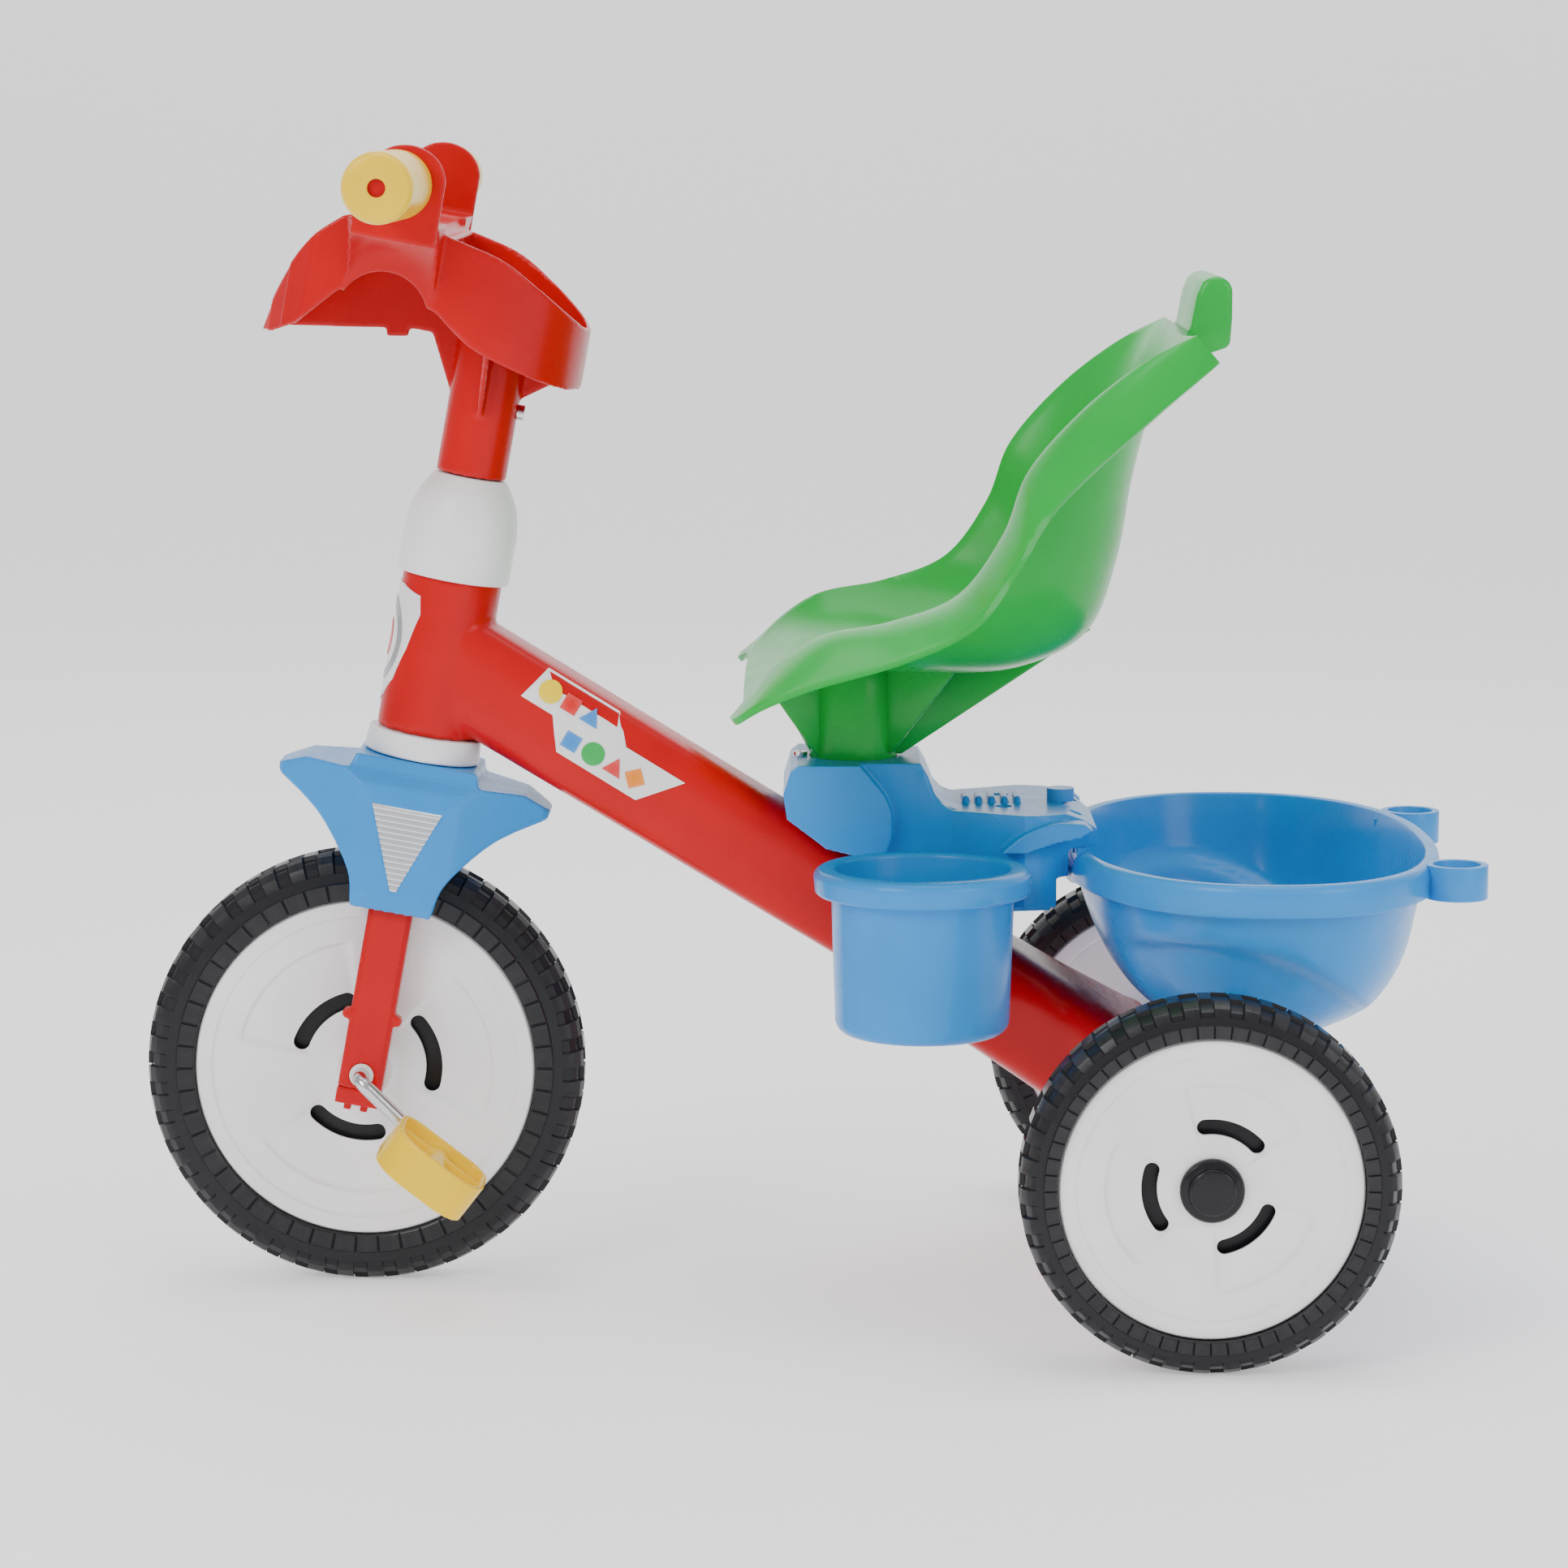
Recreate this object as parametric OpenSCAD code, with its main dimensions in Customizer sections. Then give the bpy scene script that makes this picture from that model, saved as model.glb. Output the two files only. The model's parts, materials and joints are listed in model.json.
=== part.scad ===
// Child's pedal tricycle, moulded plastic, 720 mm long.
// +X is the rear of the tricycle, +Y its right side, +Z up. The wheels stand on z = 0.

/* [Wheels] */
// Distance between the front and rear axles
wheelbase = 447; // [440:1:455]
// Outer diameter of the front wheel
front_d = 240; // [230:1:244]
// Outer diameter of the rear wheels
rear_d = 195; // [190:1:198]
// Distance between the middles of the rear tyres
rear_track = 388; // [384:1:400]
// Width of the front tyre
front_tyre_w = 38; // [32:1:38]
// Width of a rear tyre
rear_tyre_w = 42; // [36:1:42]

/* [Steering] */
// Lean of the steering axis towards the rear, degrees
steer_tilt = 10.5; // [9:0.5:12]
// Outer radius of the head tube
head_r = 27; // [26:0.5:28]
// Width over both grips
grip_span = 490; // [470:1:500]
// Outer radius of a grip
grip_r = 17.8; // [17:0.1:19]

/* [Drive] */
// Length of a crank arm, axle to pedal spindle
crank_len = 58; // [50:1:62]
// Angle of the left crank arm below horizontal, towards the rear
crank_angle = 45; // [0:5:90]
// Diameter of the bent crank rod
crank_d = 8; // [8:0.5:9]
// Tilt of the pedals, rear edge down, degrees
pedal_tilt = 38; // [0:1:60]

/* [Seat and cargo] */
// Half the width of the seat between its two crests
seat_half_w = 110; // [104:1:114]
// Wall thickness of the seat shell
seat_wall = 3.5; // [3:0.5:4]
// Radius of the seat post
post_r = 23.5; // [22:0.5:24]
// Inner radius of the cup's mouth
cup_r = 45.5; // [44:0.5:46]
// Depth of the cup, rim to floor underside
cup_h = 88; // [80:1:92]
// Radius of the bores in the two rear rings of the basket
ring_bore_r = 12.5; // [11:0.5:13]

/* [Hidden] */
$fn = 64;
front_r = front_d / 2;
rear_r = rear_d / 2;
front_x = -240;                       // front axle
rear_x = front_x + wheelbase;         // rear axle
running_gap = 0.05;                   // radial clearance of every turning fit
body_gap = 0.4;                       // axial clearance between bodies that turn on each other
side_turn = [90, 0, 0];               // stands an XZ outline up, so it can be extruded across

// ---- Small helpers ----

// Points on an arc round c, from angle a0 to a1
function arc(c, r, a0, a1, n = 10) =
    [for (i = [0:n]) let (a = a0 + (a1 - a0) * i / n) [c[0] + r * cos(a), c[1] + r * sin(a)]];

// A list turned round
function reversed(p) = [for (i = [len(p) - 1:-1:0]) p[i]];

// One coordinate of a smooth curve through four values, t from 0 to 1 between b and c
function smooth4(a, b, c, d, t) =
    0.5 * (2 * b + (c - a) * t + (2 * a - 5 * b + 4 * c - d) * t * t
    + (3 * b - a - 3 * c + d) * t * t * t);

// A point at u (0 to 1) on a smooth curve through the points p
function on_curve(p, u) =
    let (n = len(p) - 1, k = min(floor(u * n), n - 1), t = u * n - k)
    smooth4(p[max(k - 1, 0)], p[k], p[k + 1], p[min(k + 2, n)], t);

// A smooth outline through the points p, with n steps
function curve(p, n) = [for (i = [0:n]) on_curve(p, i / n)];

// Extrudes an XZ outline across the tricycle, w wide about its middle
module across(outline, w) {
    rotate(side_turn)
        linear_extrude(height = w, center = true)
            polygon(outline);
}

// Extrudes an XY outline upwards from z0 to z1
module upwards(outline, z0, z1) {
    translate([0, 0, z0])
        linear_extrude(height = z1 - z0)
            polygon(outline);
}

// A plan outline made from one half, mirrored in the X axis
function both_sides(half) =
    concat(half, [for (p = reversed(half)) [p[0], -p[1]]]);

// A cylinder across the tricycle from y0 to y1, centred on x and z
module cross_rod(x, z, r, y0, y1) {
    translate([x, y0, z])
        rotate([-90, 0, 0])
            cylinder(r = r, h = y1 - y0);
}

// Puts the children in the steering frame: origin on the front axle, +Z up the steering axis
module steered() {
    translate([front_x, 0, front_r])
        rotate([0, steer_tilt, 0])
            children();
}

// Draws the children, then mirrors them to the other side
module both() {
    children();
    mirror([0, 1, 0])
        children();
}

// ---- Main frame ----
head_bottom = 187;                    // heights on the steering axis, from the front axle
head_top = 276;
head_wall = 3;
housing_r = 22;                       // rear axle housing
housing_half = 160;
axle_r = 5;
frame_wall = 4;
tube_slope = 0.615;                   // fall of the down tube's top edge, mm per mm
tube_top_ref = [-167, 362];           // a point on that top edge

// Height of the frame's top edge at x
function tube_top(x) = tube_top_ref[1] - tube_slope * (x - tube_top_ref[0]);

// Side outline of the down tube and rear flare, shrunk by m
function frame_side(m) = [
    [-192, tube_top(-192) - m], [165, tube_top(165) - m], [190, 140 - m], [rear_x, 118 - m],
    [rear_x, 78 + m], [180, 78 + m], [135, 104 + m], [89, 134 + m], [15, 184 + m], [-200, 313 + m]];

// Plan outline of the down tube and rear flare, shrunk by m
function frame_plan(m) = both_sides([
    [-205, 24 - m], [-150, 26 - m], [20, 30 - m], [75, 34 - m], [113, 43 - m], [142, 56 - m],
    [165, 76 - m], [182, 104 - m], [194, 140 - m], [rear_x, 150 - m]]);

module frame_body(m) {
    intersection() {
        across(frame_side(m), 400);
        upwards(frame_plan(m), 0, 500);
    }
}

module main_frame() {
    color("red")
    difference() {
        union() {
            steered()
                translate([0, 0, head_bottom])
                    cylinder(r = head_r, h = head_top - head_bottom);
            frame_body(0);
            cross_rod(rear_x, rear_r, housing_r, -housing_half, housing_half);
        }
        steered()
            translate([0, 0, head_bottom - 1])
                cylinder(r = head_r - head_wall, h = head_top - head_bottom + 2);
        intersection() {
            frame_body(frame_wall);
            translate([-190, -200, 0])
                cube([365, 400, 500]);
        }
        cross_rod(rear_x, rear_r, housing_r - 6, -housing_half - 1, housing_half + 1);
        for (hole = seat_base_holes)
            translate([hole[0], hole[1], tube_top(hole[0]) - 12])
                cylinder(r = 1.8, h = 24, $fn = 24);
    }
}

// ---- Head: caps and bushes ----
steerer_r = 11;
collar_r = 31.5;
collar_bottom = 173.8;
cap_r = 30.5;
cap_top = 329;

module bush_ring(z0, z1) {
    steered()
        translate([0, 0, z0])
            difference() {
                cylinder(r = head_r - head_wall, h = z1 - z0);
                translate([0, 0, -1])
                    cylinder(r = steerer_r + running_gap, h = z1 - z0 + 2);
            }
}

module upper_bush() {
    color("whitesmoke")
        bush_ring(head_top - 16, head_top);
}

module lower_bush() {
    color("whitesmoke")
        bush_ring(head_bottom, head_bottom + 16);
}

module lower_collar() {
    color("white")
    steered()
        rotate_extrude()
            polygon([[steerer_r + 1, collar_bottom], [collar_r - 1, collar_bottom],
                [collar_r, collar_bottom + 1], [collar_r - 1, head_bottom],
                [steerer_r + 1, head_bottom]]);
}

module head_cap() {
    inside = steerer_r + 1;
    color("white")
    steered()
        rotate_extrude()
            polygon(concat(
                [[inside, head_top + 4], [head_r + 0.1, head_top + 4], [head_r + 0.1, head_top - 3]],
                [[cap_r - 0.6, head_top - 3], [cap_r, head_top - 2], [cap_r, head_top + 22]],
                curve([[cap_r - 0.2, 303], [28.6, 311], [25.6, 319], [22, 325]], 8),
                [[19.5, cap_top], [inside, cap_top]]));
}

// ---- Head badge and frame labels: plain shields without lettering ----
module head_badge() {
    color("white")
    steered()
        intersection() {
            translate([0, 0, head_bottom])
                difference() {
                    cylinder(r = head_r + 0.6, h = head_top - head_bottom);
                    translate([0, 0, -1])
                        cylinder(r = head_r, h = head_top - head_bottom + 2);
                }
            rotate([90, 0, -90])
                linear_extrude(height = 60)
                    polygon(both_halves([[0, 200], [8, 204], [16, 214], [21, 232], [24, 252], [23, 262],
                        [12, 266], [0, 267]]));
        }
}

// An outline made from its right half, mirrored in the second axis
function both_halves(half) =
    concat(half, [for (p = reversed(half)) [-p[0], p[1]]]);

// Side label: a stepped band along the flank of the down tube
module side_label(side) {
    mid = [-107, 301];
    color("white")
    intersection() {
        translate([mid[0], 0, mid[1]])
            rotate([0, atan(tube_slope), 0])
                across([[-52, -2], [-47, 18], [-2, 18], [4, 4], [48, 4], [30, -18], [-20, -18],
                    [-25, -2]], 100);
        translate([0, side < 0 ? -60 : 0, 0])
            upwards([[-160, 0], [-50, 0], [-50, 60], [-160, 60]], 200, 400);
        difference() {
            upwards(frame_plan(-0.4), 200, 400);
            upwards(frame_plan(0), 199, 401);
        }
    }
}

module side_label_left() {
    side_label(-1);
}

module side_label_right() {
    side_label(1);
}

// ---- Seat base: the saddle, deck and tongue that carry seat, cup and basket ----
post_x = 27;
post_foot = 262;                      // where the seat post stands in the base
base_top = 291;
deck_top = 266;
seat_base_holes = [[-2, 0], [108, 22], [108, -22]];
head_recess = 3.2;                    // depth of the recesses that the deck's screw heads sit in
basket_head_z = 259.6;                // seat of the two basket screws' heads
tongue_end = 158;
saddle_half = 46;

// Side outline of the middle of the base, resting on the frame's top edge
function base_side() = concat(
    [[-8, tube_top(-8)], [-11, 275], [-7, base_top - 3], [-3, base_top]],
    [[63, base_top], [67, 284], [71, 274], [76, 268.5], [84, deck_top]],
    [[140, deck_top], [150, 262], [tongue_end, 256], [tongue_end, rim_z]],
    [[142, rim_z], [142, tube_top(142)]]);

// Side outline of the flanks that hang down over the frame
function saddle_side() = concat(
    [[-9, 262], [-11, 275], [-7, base_top - 3], [-3, base_top], [30, base_top]],
    arc([16, 258], 32, 40, -25, 8), [[36, 240], [12, 246]]);

// Plan of the deck behind the seat post
function deck_plan() = both_sides(concat(
    [[50, 34], [80, 40]], arc([118, 30], 30, 90, 40, 6), [[tongue_end - 6, 44], [tongue_end, 36]]));

module base_deck() {
    difference() {
        intersection() {
            across([[50, 288], [64, 286], [70, 272], [80, deck_top], [140, deck_top], [150, 262],
                [tongue_end, 256], [tongue_end, rim_z], [142, rim_z], [142, 216], [60, 216]], 200);
            upwards(deck_plan(), 200, 300);
        }
        intersection() {
            across([[40, deck_top - 4], [136, deck_top - 4], [136, 200], [40, 200]], 200);
            upwards(both_sides([[60, 31], [80, 36], [118, 56], [136, 45]]), 190, 290);
        }
    }
}

// Plan of the bracket that carries the cup and runs back beside the basket
cup_bracket_plan = [[46, -60], [93, -60], [136, -52], [136, -30], [46, -30]];

module base_wings() {
    wing = curve([[106, 247], [116, 256], [132, 262.5], [150, 262.5]], 8);
    both()
        translate([0, 58, 0])
            across(concat(wing, [[154, 259], [148, 255], [134, 252], [120, 247]]), 16);
}

module seat_base() {
    color("deepskyblue")
    difference() {
        union() {
            difference() {
                union() {
                    across(base_side(), 72);
                    across(saddle_side(), 2 * saddle_half);
                }
                intersection() {
                    across([[78, deck_top - 4], [138, deck_top - 4], [138, 0], [78, 0]], 64);
                    across([[78, deck_top], [78, 214], [100, 214], [138, 192], [160, deck_top]], 100);
                }
            }
            base_deck();
            base_wings();
            for (i = [0:4])
                translate([88 + 7 * i, 0, deck_top]) {
                    cross_rod(0, 2.8, 1.8, -14, 14);
                    translate([-1.8, -14, -1])
                        cube([3.6, 28, 3.8]);
                }
            upwards(cup_bracket_plan, 214, lip_under);
            for (side = [-22, 22])
                translate([108, side, tube_top(108) - 4])
                    cylinder(r = 5, h = deck_top - tube_top(108) + 2);
        }
        upwards(frame_plan(-0.3), 0, 232);
        intersection() {
            across([[-220, tube_top(-220)], [170, tube_top(170)], [170, 0], [-220, 0]], 300);
            upwards(frame_plan(-0.3), 0, 400);
        }
        translate([post_x, 0, post_foot])
            cylinder(r = post_r + 0.1, h = 60);
        cross_rod(post_x, 275, 3.1, 0, 60);
        cross_rod(post_x, 275, 7, 42, 60);
        for (hole = seat_base_holes)
            translate([hole[0], hole[1], 190])
                cylinder(r = 2.1, h = 120, $fn = 24);
        for (side = [-22, 22])
            translate([108, side, deck_top - head_recess])
                cylinder(r = 4.3, h = 10, $fn = 32);
        translate([cup_pos[0], cup_pos[1], 150])
            cylinder(r = cup_outer + 0.05, h = 90);
        for (x = cup_screw_x)
            cross_rod(x, cup_screw_z, 1.6, -62, -40);
        translate([knob_x, 0, 250])
            cylinder(r = 3.1, h = 30);
        for (side = [-1, 1])
            translate([basket_screw_x, side * basket_screw_y, 240]) {
                cylinder(r = 1.9, h = 30, $fn = 24);
                translate([0, 0, basket_head_z - 240])
                    cylinder(r = 3.8, h = 10, $fn = 32);
            }
    }
}

// Pan-head screws that hold the base down on the frame
module screw(r, length, head_radius, head_h) {
    translate([0, 0, -length])
        cylinder(r = r, h = length, $fn = 24);
    difference() {
        cylinder(r = head_radius, h = head_h, $fn = 32);
        for (a = [0, 90])
            rotate([0, 0, a])
                translate([-head_radius * 0.6, -0.5, head_h - 0.8])
                    cube([head_radius * 1.2, 1, 2]);
    }
}

module seat_base_screws() {
    color("silver")
    for (hole = seat_base_holes) {
        head_z = hole[0] < 0 ? base_top : deck_top - head_recess;
        translate([hole[0], hole[1], head_z])
            screw(1.7, head_z - tube_top(hole[0]) + 8, 4, 2);
    }
}

// ---- Cup on the left of the seat base ----
cup_pos = [62.5, -105];
cup_rim_z = 246;
cup_lip_r = 57.3;
cup_wall = 2.5;
cup_outer = cup_r + cup_wall;
lip_under = cup_rim_z - 14;           // underside of the lip, which rests on the bracket
cup_screw_x = [54.5, 70.5];           // the two screws through the cup's wall, under its lip
cup_screw_z = 222;

module cup() {
    floor_z = cup_rim_z - cup_h;
    color("deepskyblue")
    difference() {
        translate([cup_pos[0], cup_pos[1], 0])
            rotate_extrude()
                polygon(concat(
                    [[0, floor_z], [38, floor_z]], arc([38, floor_z + 8], 8, -80, -8, 6),
                    [[cup_outer, lip_under], [cup_lip_r - 2, lip_under], [cup_lip_r, lip_under + 2]],
                    arc([cup_lip_r - 5, cup_rim_z - 5], 5, 0, 90, 6),
                    [[cup_r + 1, cup_rim_z], [cup_r, cup_rim_z - 2], [cup_r - 2.3, floor_z + 10]],
                    [[37, floor_z + cup_wall], [0, floor_z + cup_wall]]));
        for (x = cup_screw_x)
            cross_rod(x, cup_screw_z, 1.9, -66, -40);
    }
}

module cup_screws() {
    color("silver")
    for (x = cup_screw_x)
        translate([x, -62.1, cup_screw_z])
            rotate([90, 0, 0])
                screw(1.5, 16, 3.2, 1.6);
}

// ---- Basket ----
rim_z = 246.5;
ring_x = 343.5;
ring_y = 96;
ring_wall = 4;
ring_h = 18;
basket_screw_x = 147;
basket_screw_y = 26;
knob_x = 140;
basket_sides = 40;

// Levels of the bowl's outer wall, rim to floor: height, front end, rear end, half width
basket_levels = [
    [232, 149, 335, 162], [214, 153, 331, 158], [196, 160, 327, 152],
    [180, 169, 320, 143], [166, 181, 309, 130], [155, 197, 292, 110], [149, 213, 273, 84]];
basket_wall = 2.8;
lip_reach = 4.8;                      // how far the lip stands out from the wall
lip_drop = 17;                        // height of the turned-down lip
rim_level = [rim_z, 147, 338, 164.5];

// One ring of points, m inside the outer wall, at height z
function bowl_ring(level, m, z) =
    let (c = (level[1] + level[2]) / 2, a = (level[2] - level[1]) / 2 - m, b = level[3] - m)
    [for (i = [0:basket_sides - 1])
        let (t = 360 * i / basket_sides, cx = cos(t), cy = sin(t))
        [c + a * sign(cx) * pow(abs(cx), 0.86), b * sign(cy) * pow(abs(cy), 0.86), z]];

// Faces between rings of n points, closed at the first and last ring
function ring_faces(rings, n) = concat(
    [[for (i = [0:n - 1]) i]],
    [for (k = [0:rings - 2], i = [0:n - 1])
        [k * n + (i + 1) % n, k * n + i, (k + 1) * n + i]],
    [for (k = [0:rings - 2], i = [0:n - 1])
        [k * n + (i + 1) % n, (k + 1) * n + i, (k + 1) * n + (i + 1) % n]],
    [[for (i = [n - 1:-1:0]) (rings - 1) * n + i]]);

// The whole bowl as one skin: floor, outer wall, lip, rim, inner wall and inner floor
module bowl() {
    outer = [for (k = [len(basket_levels) - 1:-1:0])
        bowl_ring(basket_levels[k], 0, basket_levels[k][0])];
    lip = [bowl_ring(rim_level, 1.2, rim_z - 4), bowl_ring(rim_level, 3 - lip_reach, rim_z - 4),
        bowl_ring(rim_level, 2.4 - lip_reach, rim_z - lip_drop),
        bowl_ring(rim_level, -lip_reach, rim_z - lip_drop),
        bowl_ring(rim_level, -lip_reach + 0.2, rim_z - 3), bowl_ring(rim_level, -lip_reach + 2, rim_z),
        bowl_ring(rim_level, 1.6, rim_z), bowl_ring(rim_level, basket_wall, rim_z - 2)];
    inner = [for (level = basket_levels)
        bowl_ring(level, basket_wall, max(level[0], basket_levels[6][0] + basket_wall))];
    rings = concat(outer, lip, inner);
    polyhedron([for (r = rings, p = r) p], ring_faces(len(rings), basket_sides));
}

module basket() {
    color("deepskyblue")
    difference() {
        union() {
            bowl();
            for (side = [-1, 1]) {
                translate([ring_x, side * ring_y, rim_z - ring_h])
                    cylinder(r = ring_bore_r + ring_wall, h = ring_h);
                translate([ring_x - 23, side * ring_y - 8, rim_z - ring_h + 1])
                    cube([12, 16, ring_h - 5]);
            }
        }
        for (side = [-1, 1]) {
            translate([ring_x, side * ring_y, rim_z - ring_h - 1])
                cylinder(r = ring_bore_r, h = ring_h + 2);
            translate([basket_screw_x, side * basket_screw_y, rim_z - 8])
                cylinder(r = 1.6, h = 12, $fn = 24);
        }
    }
}

module basket_screws() {
    color("silver")
    for (side = [-1, 1])
        translate([basket_screw_x, side * basket_screw_y, basket_head_z])
            screw(1.5, 18.4, 3.5, 1.8);
}

// Flat round knob that locks the tongue
module basket_knob() {
    color("deepskyblue")
    translate([knob_x, 0, deck_top])
        union() {
            cylinder(r = 7.5, h = 7);
            translate([0, 0, -14])
                cylinder(r = 3, h = 15);
        }
}

// ---- Seat: one moulded bucket with its post ----
seat_steps = 22;                      // stations from the front edge to the top
seat_across = 26;                     // strips from flange to flange
seat_centre = [[-32, 334], [-8, 344], [25, 346], [70, 343], [115, 346], [150, 364], [165, 403],
    [172, 445], [182, 485], [199, 521]];
seat_crest = [[-31, 335], [-13, 355], [10, 369], [45, 376], [80, 390], [103, 421], [116, 454],
    [144, 486], [175, 510], [202, 524]];
seat_flange = [[-38, 329], [-22, 338], [5, 348], [50, 361], [86, 378], [107, 406], [124, 433],
    [146, 455], [180, 484], [214, 510]];
seat_flange_y = [158, 157, 155, 153, 150, 148, 145, 140, 132, 116];

// A point of the seat's upper face: u from the front edge to the top, v from -1 to 1 across
function seat_point(u, v) =
    let (w = abs(v), c = on_curve(seat_centre, u), k = on_curve(seat_crest, u),
        f = on_curve(seat_flange, u), fy = on_curve(seat_flange_y, u),
        inner = min(w / 0.75, 1), outer = max((w - 0.75) / 0.25, 0),
        lift = pow(inner, 3.4), x0 = c[0] + (k[0] - c[0]) * lift, z0 = c[1] + (k[1] - c[1]) * lift,
        roll = pow(outer, 1.6))
    [x0 + (f[0] - k[0]) * roll, sign(v) * (seat_half_w * inner + (fy - seat_half_w) * outer),
        z0 + (f[1] - k[1]) * roll];

// Unit vector
function unit(a) = a / norm(a);

// The same point pushed to the underside
function seat_under(u, v) =
    let (d = 0.01, a = seat_point(min(u + d, 1), v) - seat_point(max(u - d, 0), v),
        b = seat_point(u, min(v + d, 1)) - seat_point(u, max(v - d, -1)))
    seat_point(u, v) + seat_wall * unit(cross(b, a));

module seat_shell() {
    rows = seat_steps + 1;
    cols = seat_across + 1;
    count = rows * cols;
    top = [for (i = [0:seat_steps], j = [0:seat_across])
        seat_point(i / seat_steps, 2 * j / seat_across - 1)];
    under = [for (i = [0:seat_steps], j = [0:seat_across])
        seat_under(i / seat_steps, 2 * j / seat_across - 1)];
    faces = concat(
        [for (i = [0:seat_steps - 1], j = [0:seat_across - 1]) let (a = i * cols + j)
            [a, a + 1, a + cols]],
        [for (i = [0:seat_steps - 1], j = [0:seat_across - 1]) let (a = i * cols + j)
            [a + 1, a + cols + 1, a + cols]],
        [for (i = [0:seat_steps - 1], j = [0:seat_across - 1]) let (a = count + i * cols + j)
            [a, a + cols, a + 1]],
        [for (i = [0:seat_steps - 1], j = [0:seat_across - 1]) let (a = count + i * cols + j)
            [a + 1, a + cols, a + cols + 1]],
        [for (j = [0:seat_across - 1]) [j + 1, j, count + j]],
        [for (j = [0:seat_across - 1]) [j + 1, count + j, count + j + 1]],
        [for (j = [0:seat_across - 1]) let (a = seat_steps * cols + j) [a, a + 1, count + a]],
        [for (j = [0:seat_across - 1]) let (a = seat_steps * cols + j)
            [a + 1, count + a + 1, count + a]],
        [for (i = [0:seat_steps - 1]) let (a = i * cols) [a, a + cols, count + a]],
        [for (i = [0:seat_steps - 1]) let (a = i * cols) [a + cols, count + a + cols, count + a]],
        [for (i = [0:seat_steps - 1]) let (a = i * cols + seat_across) [a + cols, a, count + a]],
        [for (i = [0:seat_steps - 1]) let (a = i * cols + seat_across)
            [a + cols, count + a, count + a + cols]]);
    polyhedron(concat(top, under), faces);
}

// Ribs below the pan, all meeting at the post
module seat_ribs() {
    rib = 3;
    across([[post_x, 295], [53, base_top + 0.5], [156, 360], [148, 360], [128, 344.5], [100, 341],
        [post_x, 343]], rib);
    across([[post_x, 300], [4, 292], [-12, 320], [-20, 337.5], [-6, 342], [post_x, 343]], rib);
    for (a = [35, -35, 145, -145])
        translate([post_x, 0, 0])
            rotate([0, 0, a])
                across([[0, 300], [post_r + 2, 294], [66, 341], [40, 343], [0, 343]], rib);
}

module seat() {
    color("limegreen")
    difference() {
        union() {
            seat_shell();
            translate([post_x, 0, post_foot])
                cylinder(r = post_r, h = 81.5);
            seat_ribs();
            across([[196, 514], [204, 526], [207, 542], [212, 551], [221, 552], [227, 546], [225, 517],
                [206, 511]], 100);
        }
        translate([post_x, 0, 261])
            cylinder(r = post_r - 3.5, h = 70);
        cross_rod(post_x, 275, 3.1, 0, 30);
    }
}

module seat_bolt() {
    color("silver")
    union() {
        cross_rod(post_x, 275, 3, 12, 43);
        cross_rod(post_x, 275, 5.5, 42.5, 46);
    }
}

module seat_nut() {
    color("silver")
    difference() {
        translate([post_x, 19, 275])
            rotate([90, 0, 0])
                cylinder(r = 5.8, h = 5, $fn = 6);
        cross_rod(post_x, 275, 3, 10, 25);
    }
}

// ---- Wheels ----
tyre_wall = 4;
web_half = 3;                         // half the thickness of the wheel body between the two discs

// Wheel body in one piece: a hollow tyre that meets the discs at r_in, and a web round their hubs
module tyre_ring(r_out, r_in, w, hub_r) {
    h = w / 2;
    half = concat(
        [[r_in, h - 4], [r_in + 1.5, h - 1.5]],
        curve([[r_in + 6, h], [r_in + (r_out - r_in) * 0.55, h], [r_out - 5.5, h - 1.5],
            [r_out - 1.2, h - 5]], 6),
        [[r_out, h - 8]]);
    difference() {
        rotate_extrude($fn = 96)
            polygon(both_sides(half));
        translate([0, 0, -h + 7])
            cylinder(r = r_out - tyre_wall, h = w - 14, $fn = 96);
    }
    difference() {
        cylinder(r = r_out - tyre_wall / 2, h = 2 * web_half, center = true, $fn = 96);
        cylinder(r = hub_r + body_gap, h = 3 * web_half, center = true, $fn = 96);
    }
}

slot_half = 34;                       // half the angle that a slot spans

// One half of a wheel disc, in the wheel's own frame: its outer face looks along -Z
module rim_half(rim_radius, face, hub_r, hub_end, bore, slot_r, slot_w, slot_angles) {
    wall = 3;
    edge = web_half + 0.2;
    difference() {
        rotate_extrude($fn = 96)
            polygon([[bore, -hub_end], [hub_r, -hub_end], [hub_r + 4, -face], [hub_r + 16, -face + 3],
                [hub_r + 22, -face], [rim_radius - 16, -face], [rim_radius - 13, -face - 1.5],
                [rim_radius - 3, -face - 1.5], [rim_radius - 0.2, -face + 1], [rim_radius - 0.2, -edge],
                [rim_radius - wall, -edge], [rim_radius - wall - 1, -face + wall],
                [hub_r + 21, -face + wall], [hub_r + 15, -face + wall + 3], [hub_r, -face + wall + 1],
                [hub_r, -0.2], [bore, -0.2]]);
        for (a = slot_angles)
            rotate([0, 0, a - slot_half])
                translate([0, 0, -face - 10])
                    rotate_extrude(angle = 2 * slot_half, $fn = 96)
                        translate([slot_r - slot_w / 2, 0])
                            square([slot_w, 10 + wall + 4.5]);
    }
}

// ---- Rear wheels and axle ----
rear_mid = rear_track / 2;
rear_rim_r = 78;
rear_face = 15.5;
rear_hub_r = 13;
rear_slots = [70, 190, 310];          // middles of the curved slots, degrees
rear_bore = axle_r + running_gap;

// Puts a wheel part at a rear wheel, its outer face away from the frame
module at_rear_wheel(side) {
    translate([rear_x, side * rear_mid, rear_r])
        rotate([side < 0 ? 90 : -90, 0, 0])
            children();
}

module rear_tyre(side) {
    color([0.16, 0.16, 0.18])
        at_rear_wheel(side)
            tyre_ring(rear_r, rear_rim_r, rear_tyre_w, rear_hub_r);
}

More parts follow.
